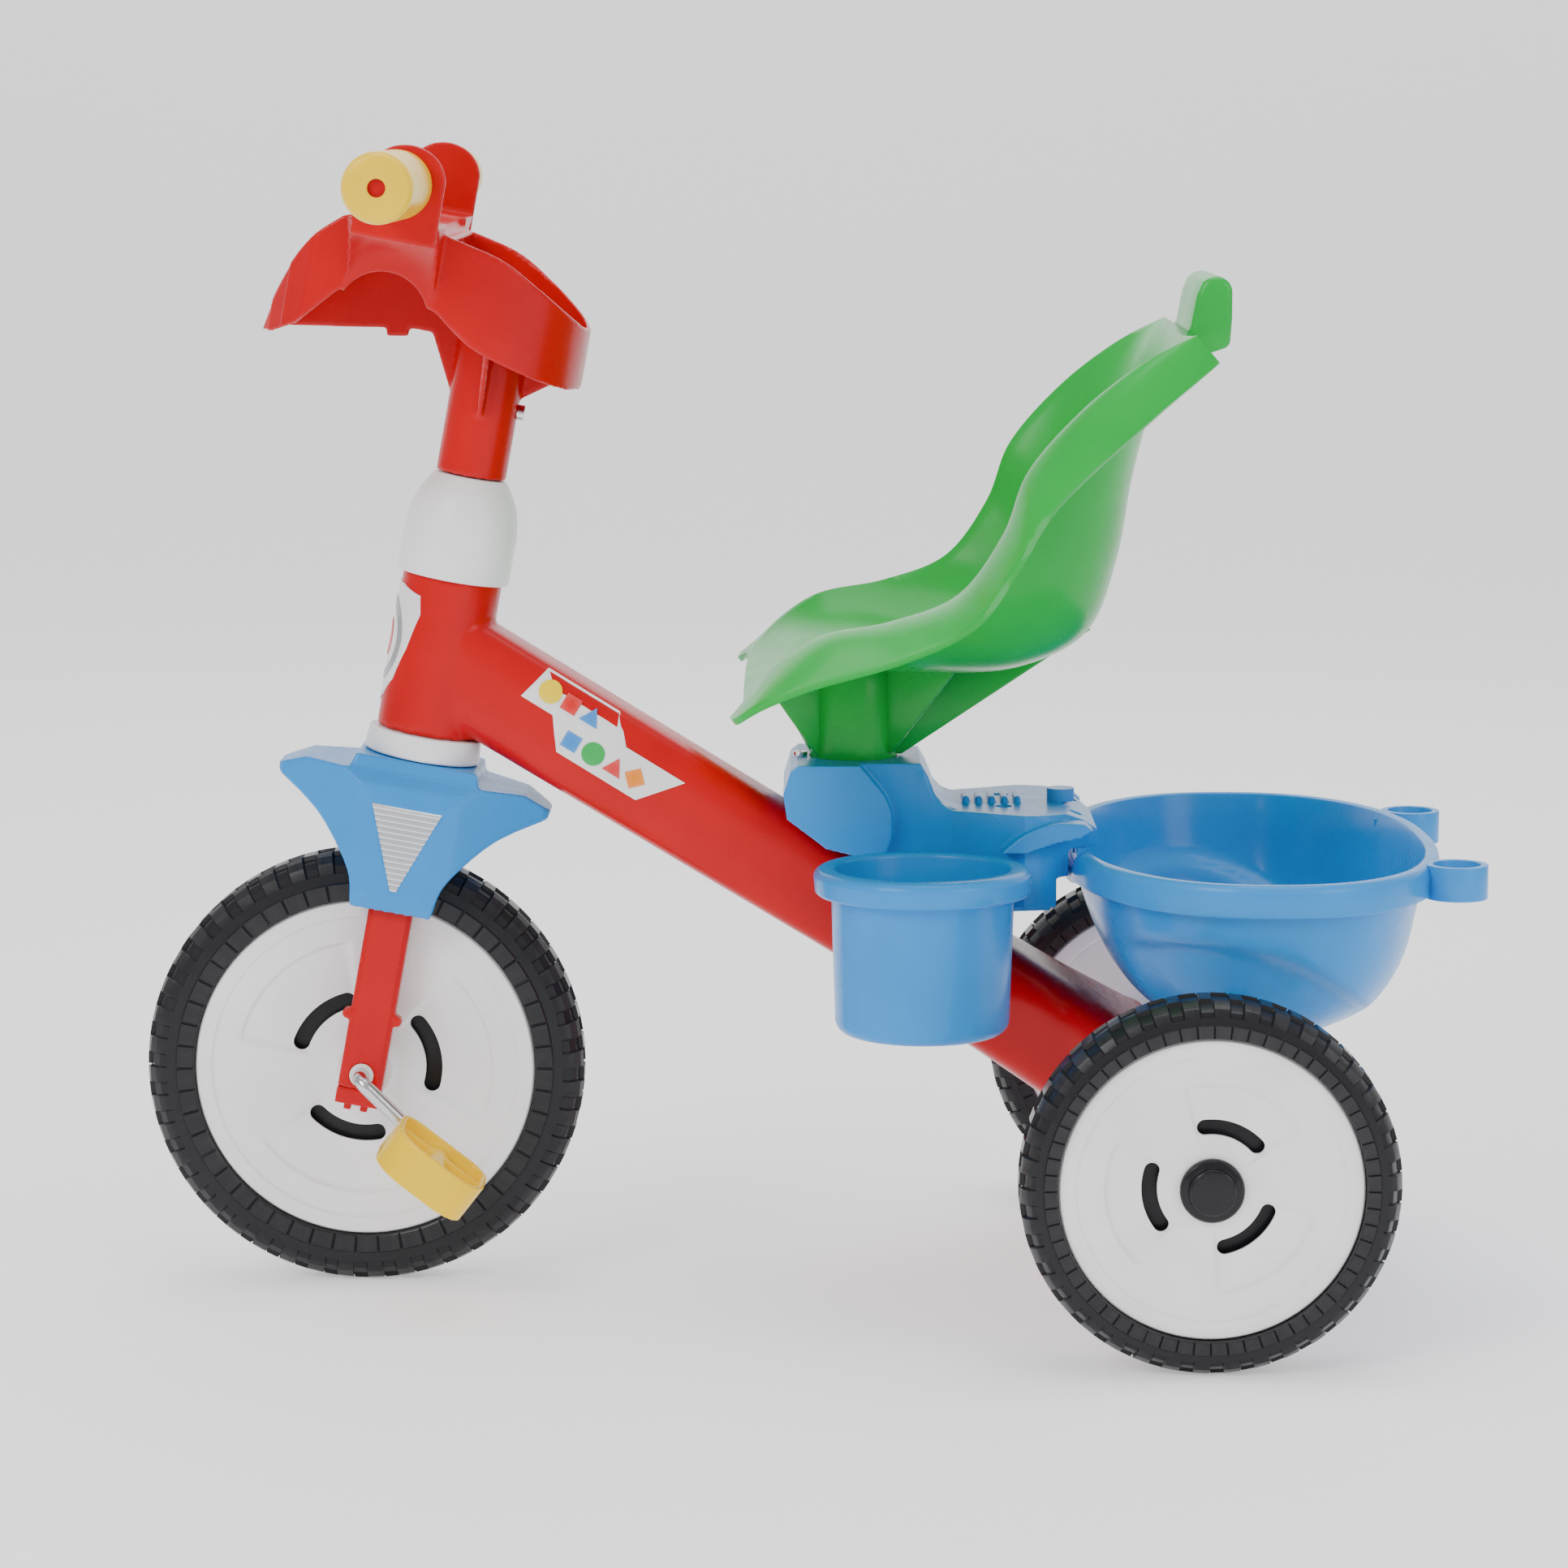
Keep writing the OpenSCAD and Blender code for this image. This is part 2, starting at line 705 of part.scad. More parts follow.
module rear_rim_outer(side) {
    color("white")
        at_rear_wheel(side)
            mirror([0, 0, 1])
                rim_half(rear_rim_r, rear_face, rear_hub_r, rear_face, rear_bore, 31.5, 8,
                    rear_slots);
}

module rear_rim_inner(side) {
    color("white")
        at_rear_wheel(side)
            rim_half(rear_rim_r, rear_face, rear_hub_r, 28, rear_bore, 31.5, 8, rear_slots);
}

module hub_cap(side) {
    color([0.12, 0.12, 0.13])
        at_rear_wheel(side)
            translate([0, 0, rear_face])
                rotate_extrude()
                    polygon([[11.5, 0], [16.5, 0], [16.5, 3], [15.5, 4.5], [12.2, 5], [12, 7.4],
                        [11, 8.2], [0, 8.2], [0, 6], [10, 6], [10, 2.6], [11.5, 2.6]]);
}

module rear_tyre_left() {
    rear_tyre(-1);
}

module rear_tyre_right() {
    rear_tyre(1);
}

module rear_rim_outer_left() {
    rear_rim_outer(-1);
}

module rear_rim_outer_right() {
    rear_rim_outer(1);
}

module rear_rim_inner_left() {
    rear_rim_inner(-1);
}

module rear_rim_inner_right() {
    rear_rim_inner(1);
}

module hub_cap_left() {
    hub_cap(-1);
}

module hub_cap_right() {
    hub_cap(1);
}

axle_end = rear_mid + rear_face + 4.5;

module rear_axle() {
    color("silver")
        cross_rod(rear_x, rear_r, axle_r, -axle_end, axle_end);
}

module rear_axle_bushes() {
    color("whitesmoke")
    both()
        difference() {
            union() {
                cross_rod(rear_x, rear_r, housing_r - 6, housing_half - 18, housing_half);
                cross_rod(rear_x, rear_r, housing_r - 2, housing_half, housing_half + 3);
            }
            cross_rod(rear_x, rear_r, axle_r, housing_half - 20, housing_half + 4);
        }
}

module rear_axle_washers() {
    inner_end = rear_mid - 28;
    color("silver")
    both()
        difference() {
            cross_rod(rear_x, rear_r, 10, housing_half + 3, inner_end - body_gap);
            cross_rod(rear_x, rear_r, axle_r, housing_half, inner_end + 2);
        }
}

module rear_push_nuts() {
    start = rear_mid + rear_face + body_gap;
    color("silver")
    both()
        difference() {
            cross_rod(rear_x, rear_r, 8.5, start, start + 2);
            cross_rod(rear_x, rear_r, axle_r, start - 1, start + 4);
        }
}

// ---- Front wheel and crank ----
front_rim_r = 93;
front_face = 15;
front_hub_r = 14;
front_hub_end = 20.5;
front_slots = [12, 132, 252];
crank_r = crank_d / 2;
bend_r = 6;                           // centreline radius of the bends in the crank rod
arm_y = 50;
spindle_end = 99;

module at_front_wheel(side) {
    translate([front_x, 0, front_r])
        rotate([side < 0 ? 90 : -90, 0, 0])
            children();
}

module front_tyre() {
    color([0.16, 0.16, 0.18])
        at_front_wheel(1)
            tyre_ring(front_r, front_rim_r, front_tyre_w, front_hub_r);
}

module front_rim(side) {
    color("white")
    difference() {
        at_front_wheel(side)
            mirror([0, 0, 1])
                rim_half(front_rim_r, front_face, front_hub_r, front_hub_end, crank_r + running_gap,
                    37.5, 9, front_slots);
        translate([front_x, 0, front_r])
            rotate([0, crank_angle, 0])
                translate([-9, -5.1, -2.1])
                    cube([18, 10.2, 4.2]);
    }
}

module front_rim_left() {
    front_rim(-1);
}

module front_rim_right() {
    front_rim(1);
}

// Two flat steel ears welded to the axle: they turn the wheel with the cranks
module drive_dog() {
    color("silver")
    difference() {
        translate([front_x, 0, front_r])
            rotate([0, crank_angle, 0])
                translate([-8.9, -5, -2])
                    cube([17.8, 10, 4]);
        cross_rod(front_x, front_r, crank_r, -30, 30);
    }
}

// End of a crank arm: side -1 is the left pedal
function crank_end(side) = [
    front_x - side * crank_len * cos(crank_angle), side * arm_y,
    front_r + side * crank_len * sin(crank_angle)];

// A quarter bend of the rod round the Z axis, from +X to +Y
module rod_bend() {
    rotate_extrude(angle = 90)
        translate([bend_r, 0])
            circle(r = crank_r);
}

// Half of the bent rod: half the axle along +Y, the arm along +X, and its pedal spindle
module crank_half() {
    cross_rod(0, 0, crank_r, 0, arm_y - bend_r);
    translate([bend_r, arm_y - bend_r, 0])
        rotate([0, 0, 90])
            rod_bend();
    translate([bend_r, arm_y, 0])
        rotate([0, 90, 0])
            cylinder(r = crank_r, h = crank_len - 2 * bend_r);
    translate([crank_len - bend_r, arm_y + bend_r, 0])
        rotate([0, 0, -90])
            rod_bend();
    cross_rod(crank_len, 0, crank_r, arm_y + bend_r, spindle_end);
}

module crank_axle() {
    color("silver")
    translate([front_x, 0, front_r])
        for (side = [-1, 1])
            rotate([0, side < 0 ? crank_angle : crank_angle + 180, 0])
                mirror([0, side < 0 ? 1 : 0, 0])
                    crank_half();
}

// ---- Pedals ----
pedal_len = 56;
pedal_h = 22;
pedal_in = 56.5;                      // inboard and outboard faces, from the middle plane
pedal_out = 111;
pedal_wall = 3;
hub_out = 95;

// Rounded plan of a pedal, m inside its outer face
function pedal_plan(m) =
    let (x = pedal_len / 2 - m, y0 = pedal_in + m, y1 = pedal_out - m, r = 20 - m, s = 12 - m)
    concat(arc([x - s, y0 + s], s, -90, 0, 6), arc([x - r, y1 - r], r, 0, 90, 8),
        arc([-x + r, y1 - r], r, 90, 180, 8), arc([-x + s, y0 + s], s, 180, 270, 6));

module pedal(side) {
    end = crank_end(side);
    color("yellow")
    translate([end[0], 0, end[2]])
        rotate([0, pedal_tilt, 0])
            difference() {
                union() {
                    difference() {
                        mirror([0, side < 0 ? 1 : 0, 0])
                            upwards(pedal_plan(0), -pedal_h / 2, pedal_h / 2);
                        mirror([0, side < 0 ? 1 : 0, 0])
                            upwards(pedal_plan(pedal_wall), -pedal_h, pedal_h);
                    }
                    cross_rod(0, 0, 8, side < 0 ? -hub_out : pedal_in, side < 0 ? -pedal_in : hub_out);
                    translate([0, side * 77, 0])
                        cube([pedal_len - 4, 3, pedal_h - 6], center = true);
                }
                cross_rod(0, 0, crank_r + running_gap, -pedal_out + 4, pedal_out - 4);
            }
}

module pedal_left() {
    pedal(-1);
}

module pedal_right() {
    pedal(1);
}

// Push-on nuts that keep the pedals on their spindles
module pedal_push_nuts() {
    color("silver")
    for (side = [-1, 1]) {
        end = crank_end(side);
        y = side * (hub_out + body_gap + 0.8);
        difference() {
            cross_rod(end[0], end[2], 7, y - 0.8, y + 0.8);
            cross_rod(end[0], end[2], crank_r, y - 2, y + 2);
        }
    }
}

// ---- Fork ----
leg_in = 22;
leg_out = 37;
leg_w = 24;
clip_seam = -8;
leg_end = -17;
crown_bottom = 127;
crown_top = 158;
fork_bush_r = 6.5;

module fork() {
    color("red")
    steered()
        difference() {
            union() {
                both()
                    difference() {
                        translate([-leg_w / 2, leg_in, clip_seam])
                            cube([leg_w, leg_out - leg_in, crown_top - clip_seam]);
                        for (x = [-1, 1])
                            translate([x * leg_w / 2, leg_out, 50])
                                rotate([0, 0, 45])
                                    cube([4, 4, 240], center = true);
                    }
                translate([-17, -leg_out, crown_bottom])
                    cube([34, 2 * leg_out, crown_top - crown_bottom]);
                translate([0, 0, crown_bottom])
                    cylinder(r = crown_neck_r, h = 173 - crown_bottom);
                for (x = [-1, 1])
                    both()
                        cross_rod(x * 13.5, 32, 2.8, leg_in + 4, leg_out - 2);
            }
            translate([0, 0, crown_bottom + 4])
                cylinder(r = steerer_r, h = 60);
            for (y = [-leg_out - 1, leg_in - 1])
                cross_rod(0, 0, fork_bush_r, y, y + leg_out - leg_in + 2);
        }
}

module steerer_tube() {
    color("silver")
    steered()
        difference() {
            translate([0, 0, crown_bottom + 4])
                cylinder(r = steerer_r, h = 400 - crown_bottom - 4);
            translate([0, 0, crown_bottom + 3])
                cylinder(r = steerer_r - 1.5, h = 400);
            translate([-20, 0, bolt_z])
                rotate([0, 90, 0])
                    cylinder(r = 3.1, h = 40);
        }
}

module fork_bushes() {
    color("whitesmoke")
    steered()
        both()
            difference() {
                cross_rod(0, 0, fork_bush_r, leg_in, leg_out);
                cross_rod(0, 0, crank_r + running_gap, leg_in - 1, leg_out + 1);
            }
}

// Clip that closes the foot of a leg under the axle
module axle_clip(side) {
    color("red")
    steered()
        mirror([0, side < 0 ? 1 : 0, 0])
            union() {
                translate([-leg_w / 2, leg_in, leg_end])
                    cube([leg_w, leg_out - leg_in, clip_seam - leg_end]);
                for (x = [-7, 2])
                    translate([x, leg_in + 4, leg_end - 4])
                        cube([4, 6, 5]);
            }
}

module axle_clip_left() {
    axle_clip(-1);
}

module axle_clip_right() {
    axle_clip(1);
}

// ---- Fork guard and reflectors ----
guard_top = 173.4;
guard_wall = 2.5;
guard_half = 46;
reflector_t = 1;
crown_neck_r = 20;                    // round neck of the fork, which the guard fits over

// Side outline of the guard, shrunk by m and dropped by d at its foot
function guard_side(m, d) =
    let (flank = curve([[74 - m, 153 + m], [50 - m, 139 + m * 0.6], [33 - m, 121], [25 - m, 108],
        [22 - m, 92 - d]], 12))
    concat([[33 - m, guard_top - m], [35 - m, 166 - m], [60 - m, 165 - m], [75 - m, 158]], flank,
        [for (p = reversed(flank)) [-p[0], p[1]]],
        [[-75 + m, 158], [-60 + m, 165 - m], [-35 + m, 166 - m], [-33 + m, guard_top - m]]);

// Front outline of the guard
function guard_front(m, d) = both_halves(concat(
    [[0, guard_top - m], [33 - m, guard_top - m], [35 - m, 167 - m], [43 - m, 160 - m]],
    [[guard_half - m, 150], [guard_half - m, 100], [43 - m, 92 - d]], [[0, 92 - d]]));

// Plan outline: a four-pointed star with blunt ends fore and aft
function guard_plan(m) = both_sides(concat(
    [[-76 + m, 9 - m], [-72 + m, 16 - m], [-48, 31 - m], [-28, 43 - m], [-16, guard_half - m]],
    [[16, guard_half - m], [28, 43 - m], [48, 31 - m], [72 - m, 16 - m], [76 - m, 9 - m]]));

module guard_block(m, d) {
    intersection() {
        across(guard_side(m, d), 200);
        rotate([90, 0, 90])
            linear_extrude(height = 200, center = true)
                polygon(guard_front(m, d));
        upwards(guard_plan(m), 0, 300);
    }
}

module fork_guard() {
    color("deepskyblue")
    steered()
        difference() {
            guard_block(0, 0);
            guard_block(guard_wall, 10);
            translate([0, 0, 100])
                cylinder(r = crown_neck_r + 0.05, h = 100);
            translate([-18, -leg_out - 0.5, 100])
                cube([36, 2 * leg_out + 1, crown_top + 0.5 - 100]);
            rotate([90, 0, 0])
                cylinder(r = front_r + 5, h = 2 * leg_in + 2, center = true, $fn = 96);
            both()
                translate([0, guard_half, 0])
                    across(reflector_outline(0.3), 2 * reflector_t);
        }
}

// Triangle of the reflector, g larger all round
function reflector_outline(g) = [
    [-19 - g, 150 + g], [19 + g, 150 + g], [1.5 + g, 104 - g], [-1.5 - g, 104 - g]];

module reflector(side) {
    color([0.85, 0.87, 0.9])
    steered()
        intersection() {
            translate([0, side * guard_half, 0])
                across(reflector_outline(0), 2 * reflector_t);
            rotate([90, 0, 90])
                linear_extrude(height = 200, center = true)
                    polygon(guard_front(0, 0));
        }
}

module reflector_left() {
    reflector(-1);
}

module reflector_right() {
    reflector(1);
}

// ---- Handlebar ----
stem_r = 19;
stem_bottom = cap_top + body_gap;
bolt_z = 367;
bar_wall = 3;
bar_half = 75;
grip_x = -55;
grip_z = 479;
plate_y = 124;
plate_t = 4;

// Side outline of the hood and rear band, in the steering frame
function bar_side() = concat(
    [[-114, 389]],
    curve([[-121, 388], [-116, 408], [-108, 428], [-98, 444], [-84, 457]], 8),
    [[-70, 461], [-36, 460]],
    curve([[-30, 456], [0, 449], [22, 437], [40, 425], [50, 417]], 8),
    [[50, 386]],
    curve([[44, 386], [20, 391.5], [-8, 401], [-28, 415], [-34, 417]], 6),
    arc([-56, 408], 24, 25, 155, 8),
    [[-80, 419], [-100, 397]]);

// Side outline of the hollow: m under the skin and open below
function bar_hollow_side(m) = concat(
    [[-117, 380]],
    curve([[-117 + m, 388], [-112.5 + m, 408], [-105 + m, 426], [-95.5 + m, 441],
        [-83 + m, 453.5]], 8),
    [[-70, 461 - m], [-36, 460 - m]],
    curve([[-30, 456 - m], [0, 449 - m], [22, 437 - m], [40, 425 - m], [60, 409 - m]], 8),
    [[60, 380]]);

// Plan outline of the hood and band, m inside
function bar_plan(m) = both_sides(concat(
    [[-121 + m, 30 - m], [-116 + m, 46 - m], [-104, 62 - m], [-88, bar_half - 3 - m]],
    [[-76, bar_half - m], [-30, bar_half - m]],
    [for (i = [1:9]) let (a = 90 - 10 * i)
        [-30 + (80 - m) * cos(a), (bar_half - m) * sin(a)]]));

module bar_shell() {
    difference() {
        intersection() {
            across(bar_side(), 300);
            upwards(bar_plan(0), 300, 500);
        }
        intersection() {
            across(bar_hollow_side(bar_wall), 300);
            upwards(bar_plan(bar_wall), 300, 500);
            translate([-200, -200, 300])
                cube([174, 400, 200]);
        }
        intersection() {
            across([[-26, 500], [100, 500], [100, 300], [-26, 300]], 300);
            upwards(bar_plan(bar_wall), 300, 520);
        }
    }
    intersection() {
        across([[-30, 441], [0, 433], [24, 420], [52, 405], [52, 401], [24, 416], [0, 429],
            [-30, 437]], 300);
        upwards(bar_plan(1), 300, 500);
    }
}

// Web down the middle of the hood, from its front to the stem
module bar_web() {
    intersection() {
        across([[-116, 390], [-112, 413], [-96, 441], [-80, 456], [-30, 456], [-10, 428], [-10, 398],
            [-64, 398], [-108, 391]], 3);
        upwards(bar_plan(1), 300, 500);
    }
}

module bar_arms() {
    both() {
        translate([0, plate_y, 0])
            across(concat([[-72, 452], [-71, 466]], arc([-51, 482], 18, 190, 0, 12),
                [[-31, 466], [-31, 452]]), plate_t);
        translate([0, (bar_half + plate_y) / 2, 0])
            across([[-76, 450], [-74, 462], [-31, 462], [-31, 450]], plate_y - bar_half + 3);
        cross_rod(grip_x, grip_z, 13, plate_y - 1, grip_span / 2 - 3);
        translate([0, (bar_half + plate_y) / 2, 0])
            across([[-62, 460], [-58, 492], [-50, 492], [-46, 460]], plate_y - bar_half);
    }
}

module bar_stem() {
    translate([0, 0, stem_bottom])
        cylinder(r = stem_r, h = 424 - stem_bottom);
    intersection() {
        union() {
            across([[0, 356], [-19, 372], [-34, 402], [-40, 440], [0, 440]], 3);
            across([[0, 374], [19, 374], [46, 392], [46, 404], [0, 428]], 3);
            rotate([0, 0, 90])
                across([[-72, 436], [-60, 405], [-19, 362], [19, 362], [60, 405], [72, 436]], 3);
        }
        across([[-50, 340], [-50, 440], [-30, 439], [0, 431], [24, 418], [50, 403], [50, 340]], 160);
        upwards(bar_plan(1), 300, 500);
    }
}

module handlebar() {
    color("red")
    steered()
        difference() {
            union() {
                bar_shell();
                bar_web();
                bar_arms();
                bar_stem();
            }
            translate([0, 0, stem_bottom - 1])
                cylinder(r = steerer_r, h = 400 - stem_bottom + 1.2);
            translate([-40, 0, bolt_z])
                rotate([0, 90, 0])
                    cylinder(r = 3.1, h = 80);
            translate([-stem_r - 1, 0, bolt_z])
                rotate([0, 90, 0])
                    cylinder(r = 5.2, h = 6, $fn = 6);
        }
}

module grip(side) {
    grip_in = plate_y + plate_t / 2;
    grip_out = grip_span / 2;
    color("gold")
    steered()
        translate([grip_x, 0, grip_z])
            rotate([side < 0 ? 90 : -90, 0, 0])
                rotate_extrude()
                    polygon([[13.1, grip_in + 0.2], [grip_r - 1.5, grip_in + 0.2], [grip_r, grip_in + 2],
                        [grip_r, grip_out - 4], [grip_r - 1.2, grip_out - 1.2], [grip_r - 4, grip_out],
                        [4.5, grip_out], [4.5, grip_out - 2.8], [13.1, grip_out - 2.8]]);
}

module grip_left() {
    grip(-1);
}

module grip_right() {
    grip(1);
}

// Bolt through stem and tube, its small head at the rear and its nut sunk in the front of the stem
module stem_bolt() {
    color("silver")
    steered()
        translate([0, 0, bolt_z])
            rotate([0, 90, 0])
                union() {
                    translate([0, 0, -stem_r + 1])
                        cylinder(r = 3, h = 2 * stem_r - 1);
                    translate([0, 0, stem_r])
                        cylinder(r = 4.2, h = 3.6);
                }
}

module stem_nut() {
    color("silver")
    steered()
        translate([-stem_r + 1, 0, bolt_z])
            rotate([0, 90, 0])
                difference() {
                    cylinder(r = 5, h = 4, $fn = 6);
                    translate([0, 0, -1])
                        cylinder(r = 3, h = 8);
                }
}

main_frame();
head_cap();
lower_collar();
upper_bush();
lower_bush();
head_badge();
side_label_left();
side_label_right();
seat_base();
seat_base_screws();
cup();
cup_screws();
basket();
basket_screws();
basket_knob();
seat();
seat_bolt();
seat_nut();
rear_axle();
rear_axle_bushes();
rear_axle_washers();
rear_push_nuts();
rear_tyre_left();
rear_rim_outer_left();
rear_rim_inner_left();
hub_cap_left();
rear_tyre_right();
rear_rim_outer_right();
rear_rim_inner_right();
hub_cap_right();
fork();
steerer_tube();
fork_bushes();
axle_clip_left();
axle_clip_right();
fork_guard();
reflector_left();
reflector_right();
handlebar();
grip_left();
grip_right();
stem_bolt();
stem_nut();
front_tyre();
front_rim_left();
front_rim_right();
crank_axle();
drive_dog();
pedal_push_nuts();
pedal_left();
pedal_right();
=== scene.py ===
"""Looks of the children's tricycle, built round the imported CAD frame.

Shapes are written in millimetres and placed in the row's frame: +X rear, +Y right, +Z up.
Steering parts are written in the steering frame, whose origin is on the front axle.
"""

import json
import math

import bmesh
import bpy
from mathutils import Matrix, Vector


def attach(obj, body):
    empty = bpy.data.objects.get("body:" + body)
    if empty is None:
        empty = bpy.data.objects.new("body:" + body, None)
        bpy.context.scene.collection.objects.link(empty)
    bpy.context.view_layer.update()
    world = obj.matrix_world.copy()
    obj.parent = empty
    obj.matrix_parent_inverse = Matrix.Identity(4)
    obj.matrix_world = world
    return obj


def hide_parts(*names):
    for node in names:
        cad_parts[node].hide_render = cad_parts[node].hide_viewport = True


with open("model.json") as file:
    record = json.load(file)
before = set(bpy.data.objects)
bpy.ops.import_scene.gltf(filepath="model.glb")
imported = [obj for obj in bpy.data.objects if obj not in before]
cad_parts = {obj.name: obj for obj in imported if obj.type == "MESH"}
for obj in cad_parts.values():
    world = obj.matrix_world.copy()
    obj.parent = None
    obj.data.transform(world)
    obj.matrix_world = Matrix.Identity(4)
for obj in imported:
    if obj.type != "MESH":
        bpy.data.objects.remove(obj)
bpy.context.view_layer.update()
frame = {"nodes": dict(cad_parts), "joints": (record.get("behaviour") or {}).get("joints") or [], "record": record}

MM = 0.001
MILLIMETRES = Matrix.Scale(MM, 4)
MIRROR = Matrix.Scale(-1, 4, (0, 1, 0))
IDENTITY = Matrix.Identity(4)
SIDES = ((-1, "left"), (1, "right"))  # the sign of y on each side


def joint(name):
    return next(j for j in frame["joints"] if j["name"] == name)


def steering_frame():
    """The matrix from millimetres in the steering frame to the row's frame."""
    turn = joint("steer")
    up = Vector(turn["axis"]).normalized()
    across = Vector((0, 1, 0))
    matrix = Matrix((across.cross(up), across, up)).transposed().to_4x4()
    matrix.translation = Vector(turn["pos_m"])
    return matrix @ MILLIMETRES


STEERING = steering_frame()


# ---- Camera, light and floor ----


CAMERA_PLACE = (0.0022, -2.5, 0.6352)
CAMERA_DOWN = 8.203  # degrees below the level
CAMERA_LEFT = 0.297  # degrees to the left of straight across
LENS, SENSOR = 106.27, 36  # millimetres


def make_camera():
    data = bpy.data.cameras.new("camera")
    data.lens = LENS
    data.sensor_width = SENSOR
    camera = bpy.data.objects.new("camera", data)
    camera.location = CAMERA_PLACE
    camera.rotation_euler = (math.radians(90 - CAMERA_DOWN), 0, math.radians(CAMERA_LEFT))
    bpy.context.scene.collection.objects.link(camera)
    bpy.context.scene.camera = camera


def softbox(name, place, size, power):
    """A large area light that faces the middle of the tricycle."""
    data = bpy.data.lights.new(name, "AREA")
    data.shape = "RECTANGLE"
    data.size, data.size_y = size
    data.energy = power
    light = bpy.data.objects.new(name, data)
    light.location = place
    aim = Vector((0, 0, 0.3)) - light.location
    light.rotation_euler = aim.to_track_quat("-Z", "Y").to_euler()
    bpy.context.scene.collection.objects.link(light)


def make_lights():
    softbox("key_light", (-1.7, -2.4, 2.1), (1.5, 1.2), 50)
    softbox("fill_light", (2.2, -2.0, 1.3), (1.4, 1.4), 20)
    softbox("top_light", (0.1, 0.2, 2.6), (2.0, 1.6), 34)
    softbox("back_light", (0.2, 2.4, 1.8), (3.0, 1.4), 12)
    world = bpy.data.worlds.new("studio")
    world.use_nodes = True
    background = world.node_tree.nodes["Background"]
    background.inputs["Color"].default_value = (1, 1, 1, 1)
    background.inputs["Strength"].default_value = 0.62
    bpy.context.scene.world = world


def make_floor():
    """A floor that curves up into a backdrop."""
    front, back, bend, height, half = -6.0, 3.2, 1.2, 5.0, 7.0
    line = [(front, 0)]
    for i in range(13):
        a = math.radians(90 * i / 12)
        line.append((back + bend * math.sin(a), bend * (1 - math.cos(a))))
    line.append((back + bend, height))
    bm = bmesh.new()
    rows = [[bm.verts.new((x, y, z)) for x in (-half, half)] for y, z in line]
    for a, b in zip(rows, rows[1:]):
        bm.faces.new((a[0], a[1], b[1], b[0])).smooth = True
    mesh = bpy.data.meshes.new("floor")
    bm.to_mesh(mesh)
    bm.free()
    floor = bpy.data.objects.new("floor", mesh)
    bpy.context.scene.collection.objects.link(floor)
    material = bpy.data.materials.new("pale_floor")
    material.use_nodes = True
    shader = material.node_tree.nodes["Principled BSDF"]
    shader.inputs["Base Color"].default_value = (0.93, 0.93, 0.94, 1)
    shader.inputs["Roughness"].default_value = 0.7
    shader.inputs["Emission Color"].default_value = (1, 1, 1, 1)
    shader.inputs["Emission Strength"].default_value = 0.45
    mesh.materials.append(material)


# ---- Materials ----


def ramp(tree, source, low, high, dark, light):
    """A colour ramp from dark at low to light at high, fed by source."""
    node = tree.nodes.new("ShaderNodeValToRGB")
    first, last = node.color_ramp.elements
    first.position, last.position = low, high
    first.color, last.color = (*dark, 1), (*light, 1)
    tree.links.new(source, node.inputs["Fac"])
    return node.outputs["Color"]


def noise(tree, scale, detail=3):
    where = tree.nodes.new("ShaderNodeTexCoord")
    node = tree.nodes.new("ShaderNodeTexNoise")
    node.inputs["Scale"].default_value = scale
    node.inputs["Detail"].default_value = detail
    tree.links.new(where.outputs["Object"], node.inputs["Vector"])
    return node.outputs["Fac"]


MOTTLE_SCALE = 22
GLOSS_SCALE = 70
GRAIN_SCALE = 1400
GRAIN_DEPTH = 0.0004  # metres
EDGE_HIGHLIGHT_RANGE = (0.53, 0.62)  # pointiness where the painted edge highlight starts, and where it is full


def moulded(name, colour, gloss=0.24, coat=0.04, grain=0.05, metallic=0.0, edge_highlight=0.10):
    """Moulded plastic or bright steel: mottled colour, uneven gloss, fine grain, and a painted highlight that
    makes sharp edges paler.
    """
    material = bpy.data.materials.new(name)
    material.use_nodes = True
    tree = material.node_tree
    shader = tree.nodes["Principled BSDF"]
    shader.inputs["Metallic"].default_value = metallic
    shader.inputs["Specular IOR Level"].default_value = 0.2
    shader.inputs["Coat Weight"].default_value = coat
    shader.inputs["Coat Roughness"].default_value = 0.08
    dark, light = [c * 0.93 for c in colour], [min(c * 1.04, 1) for c in colour]
    mottle = ramp(tree, noise(tree, MOTTLE_SCALE), 0.3, 0.7, dark, light)
    geometry = tree.nodes.new("ShaderNodeNewGeometry")
    # Painted highlight: sharp edges, found by pointiness, are mixed towards a paler tone of the same colour.
    edge = ramp(tree, geometry.outputs["Pointiness"], *EDGE_HIGHLIGHT_RANGE, (0, 0, 0), (edge_highlight, edge_highlight, edge_highlight))
    mix = tree.nodes.new("ShaderNodeMix")
    mix.data_type = "RGBA"
    tree.links.new(edge, mix.inputs["Factor"])
    tree.links.new(mottle, mix.inputs["A"])
    mix.inputs["B"].default_value = (*[c + (1 - c) * 0.55 for c in colour], 1)
    tree.links.new(mix.outputs["Result"], shader.inputs["Base Color"])
    rough = tree.nodes.new("ShaderNodeMapRange")
    tree.links.new(noise(tree, GLOSS_SCALE, 5), rough.inputs["Value"])
    rough.inputs["To Min"].default_value = gloss * 0.7
    rough.inputs["To Max"].default_value = gloss * 1.45
    tree.links.new(rough.outputs["Result"], shader.inputs["Roughness"])
    bump = tree.nodes.new("ShaderNodeBump")
    bump.inputs["Strength"].default_value = grain
    bump.inputs["Distance"].default_value = GRAIN_DEPTH
    tree.links.new(noise(tree, GRAIN_SCALE, 2), bump.inputs["Height"])
    tree.links.new(bump.outputs["Normal"], shader.inputs["Normal"])
    return material


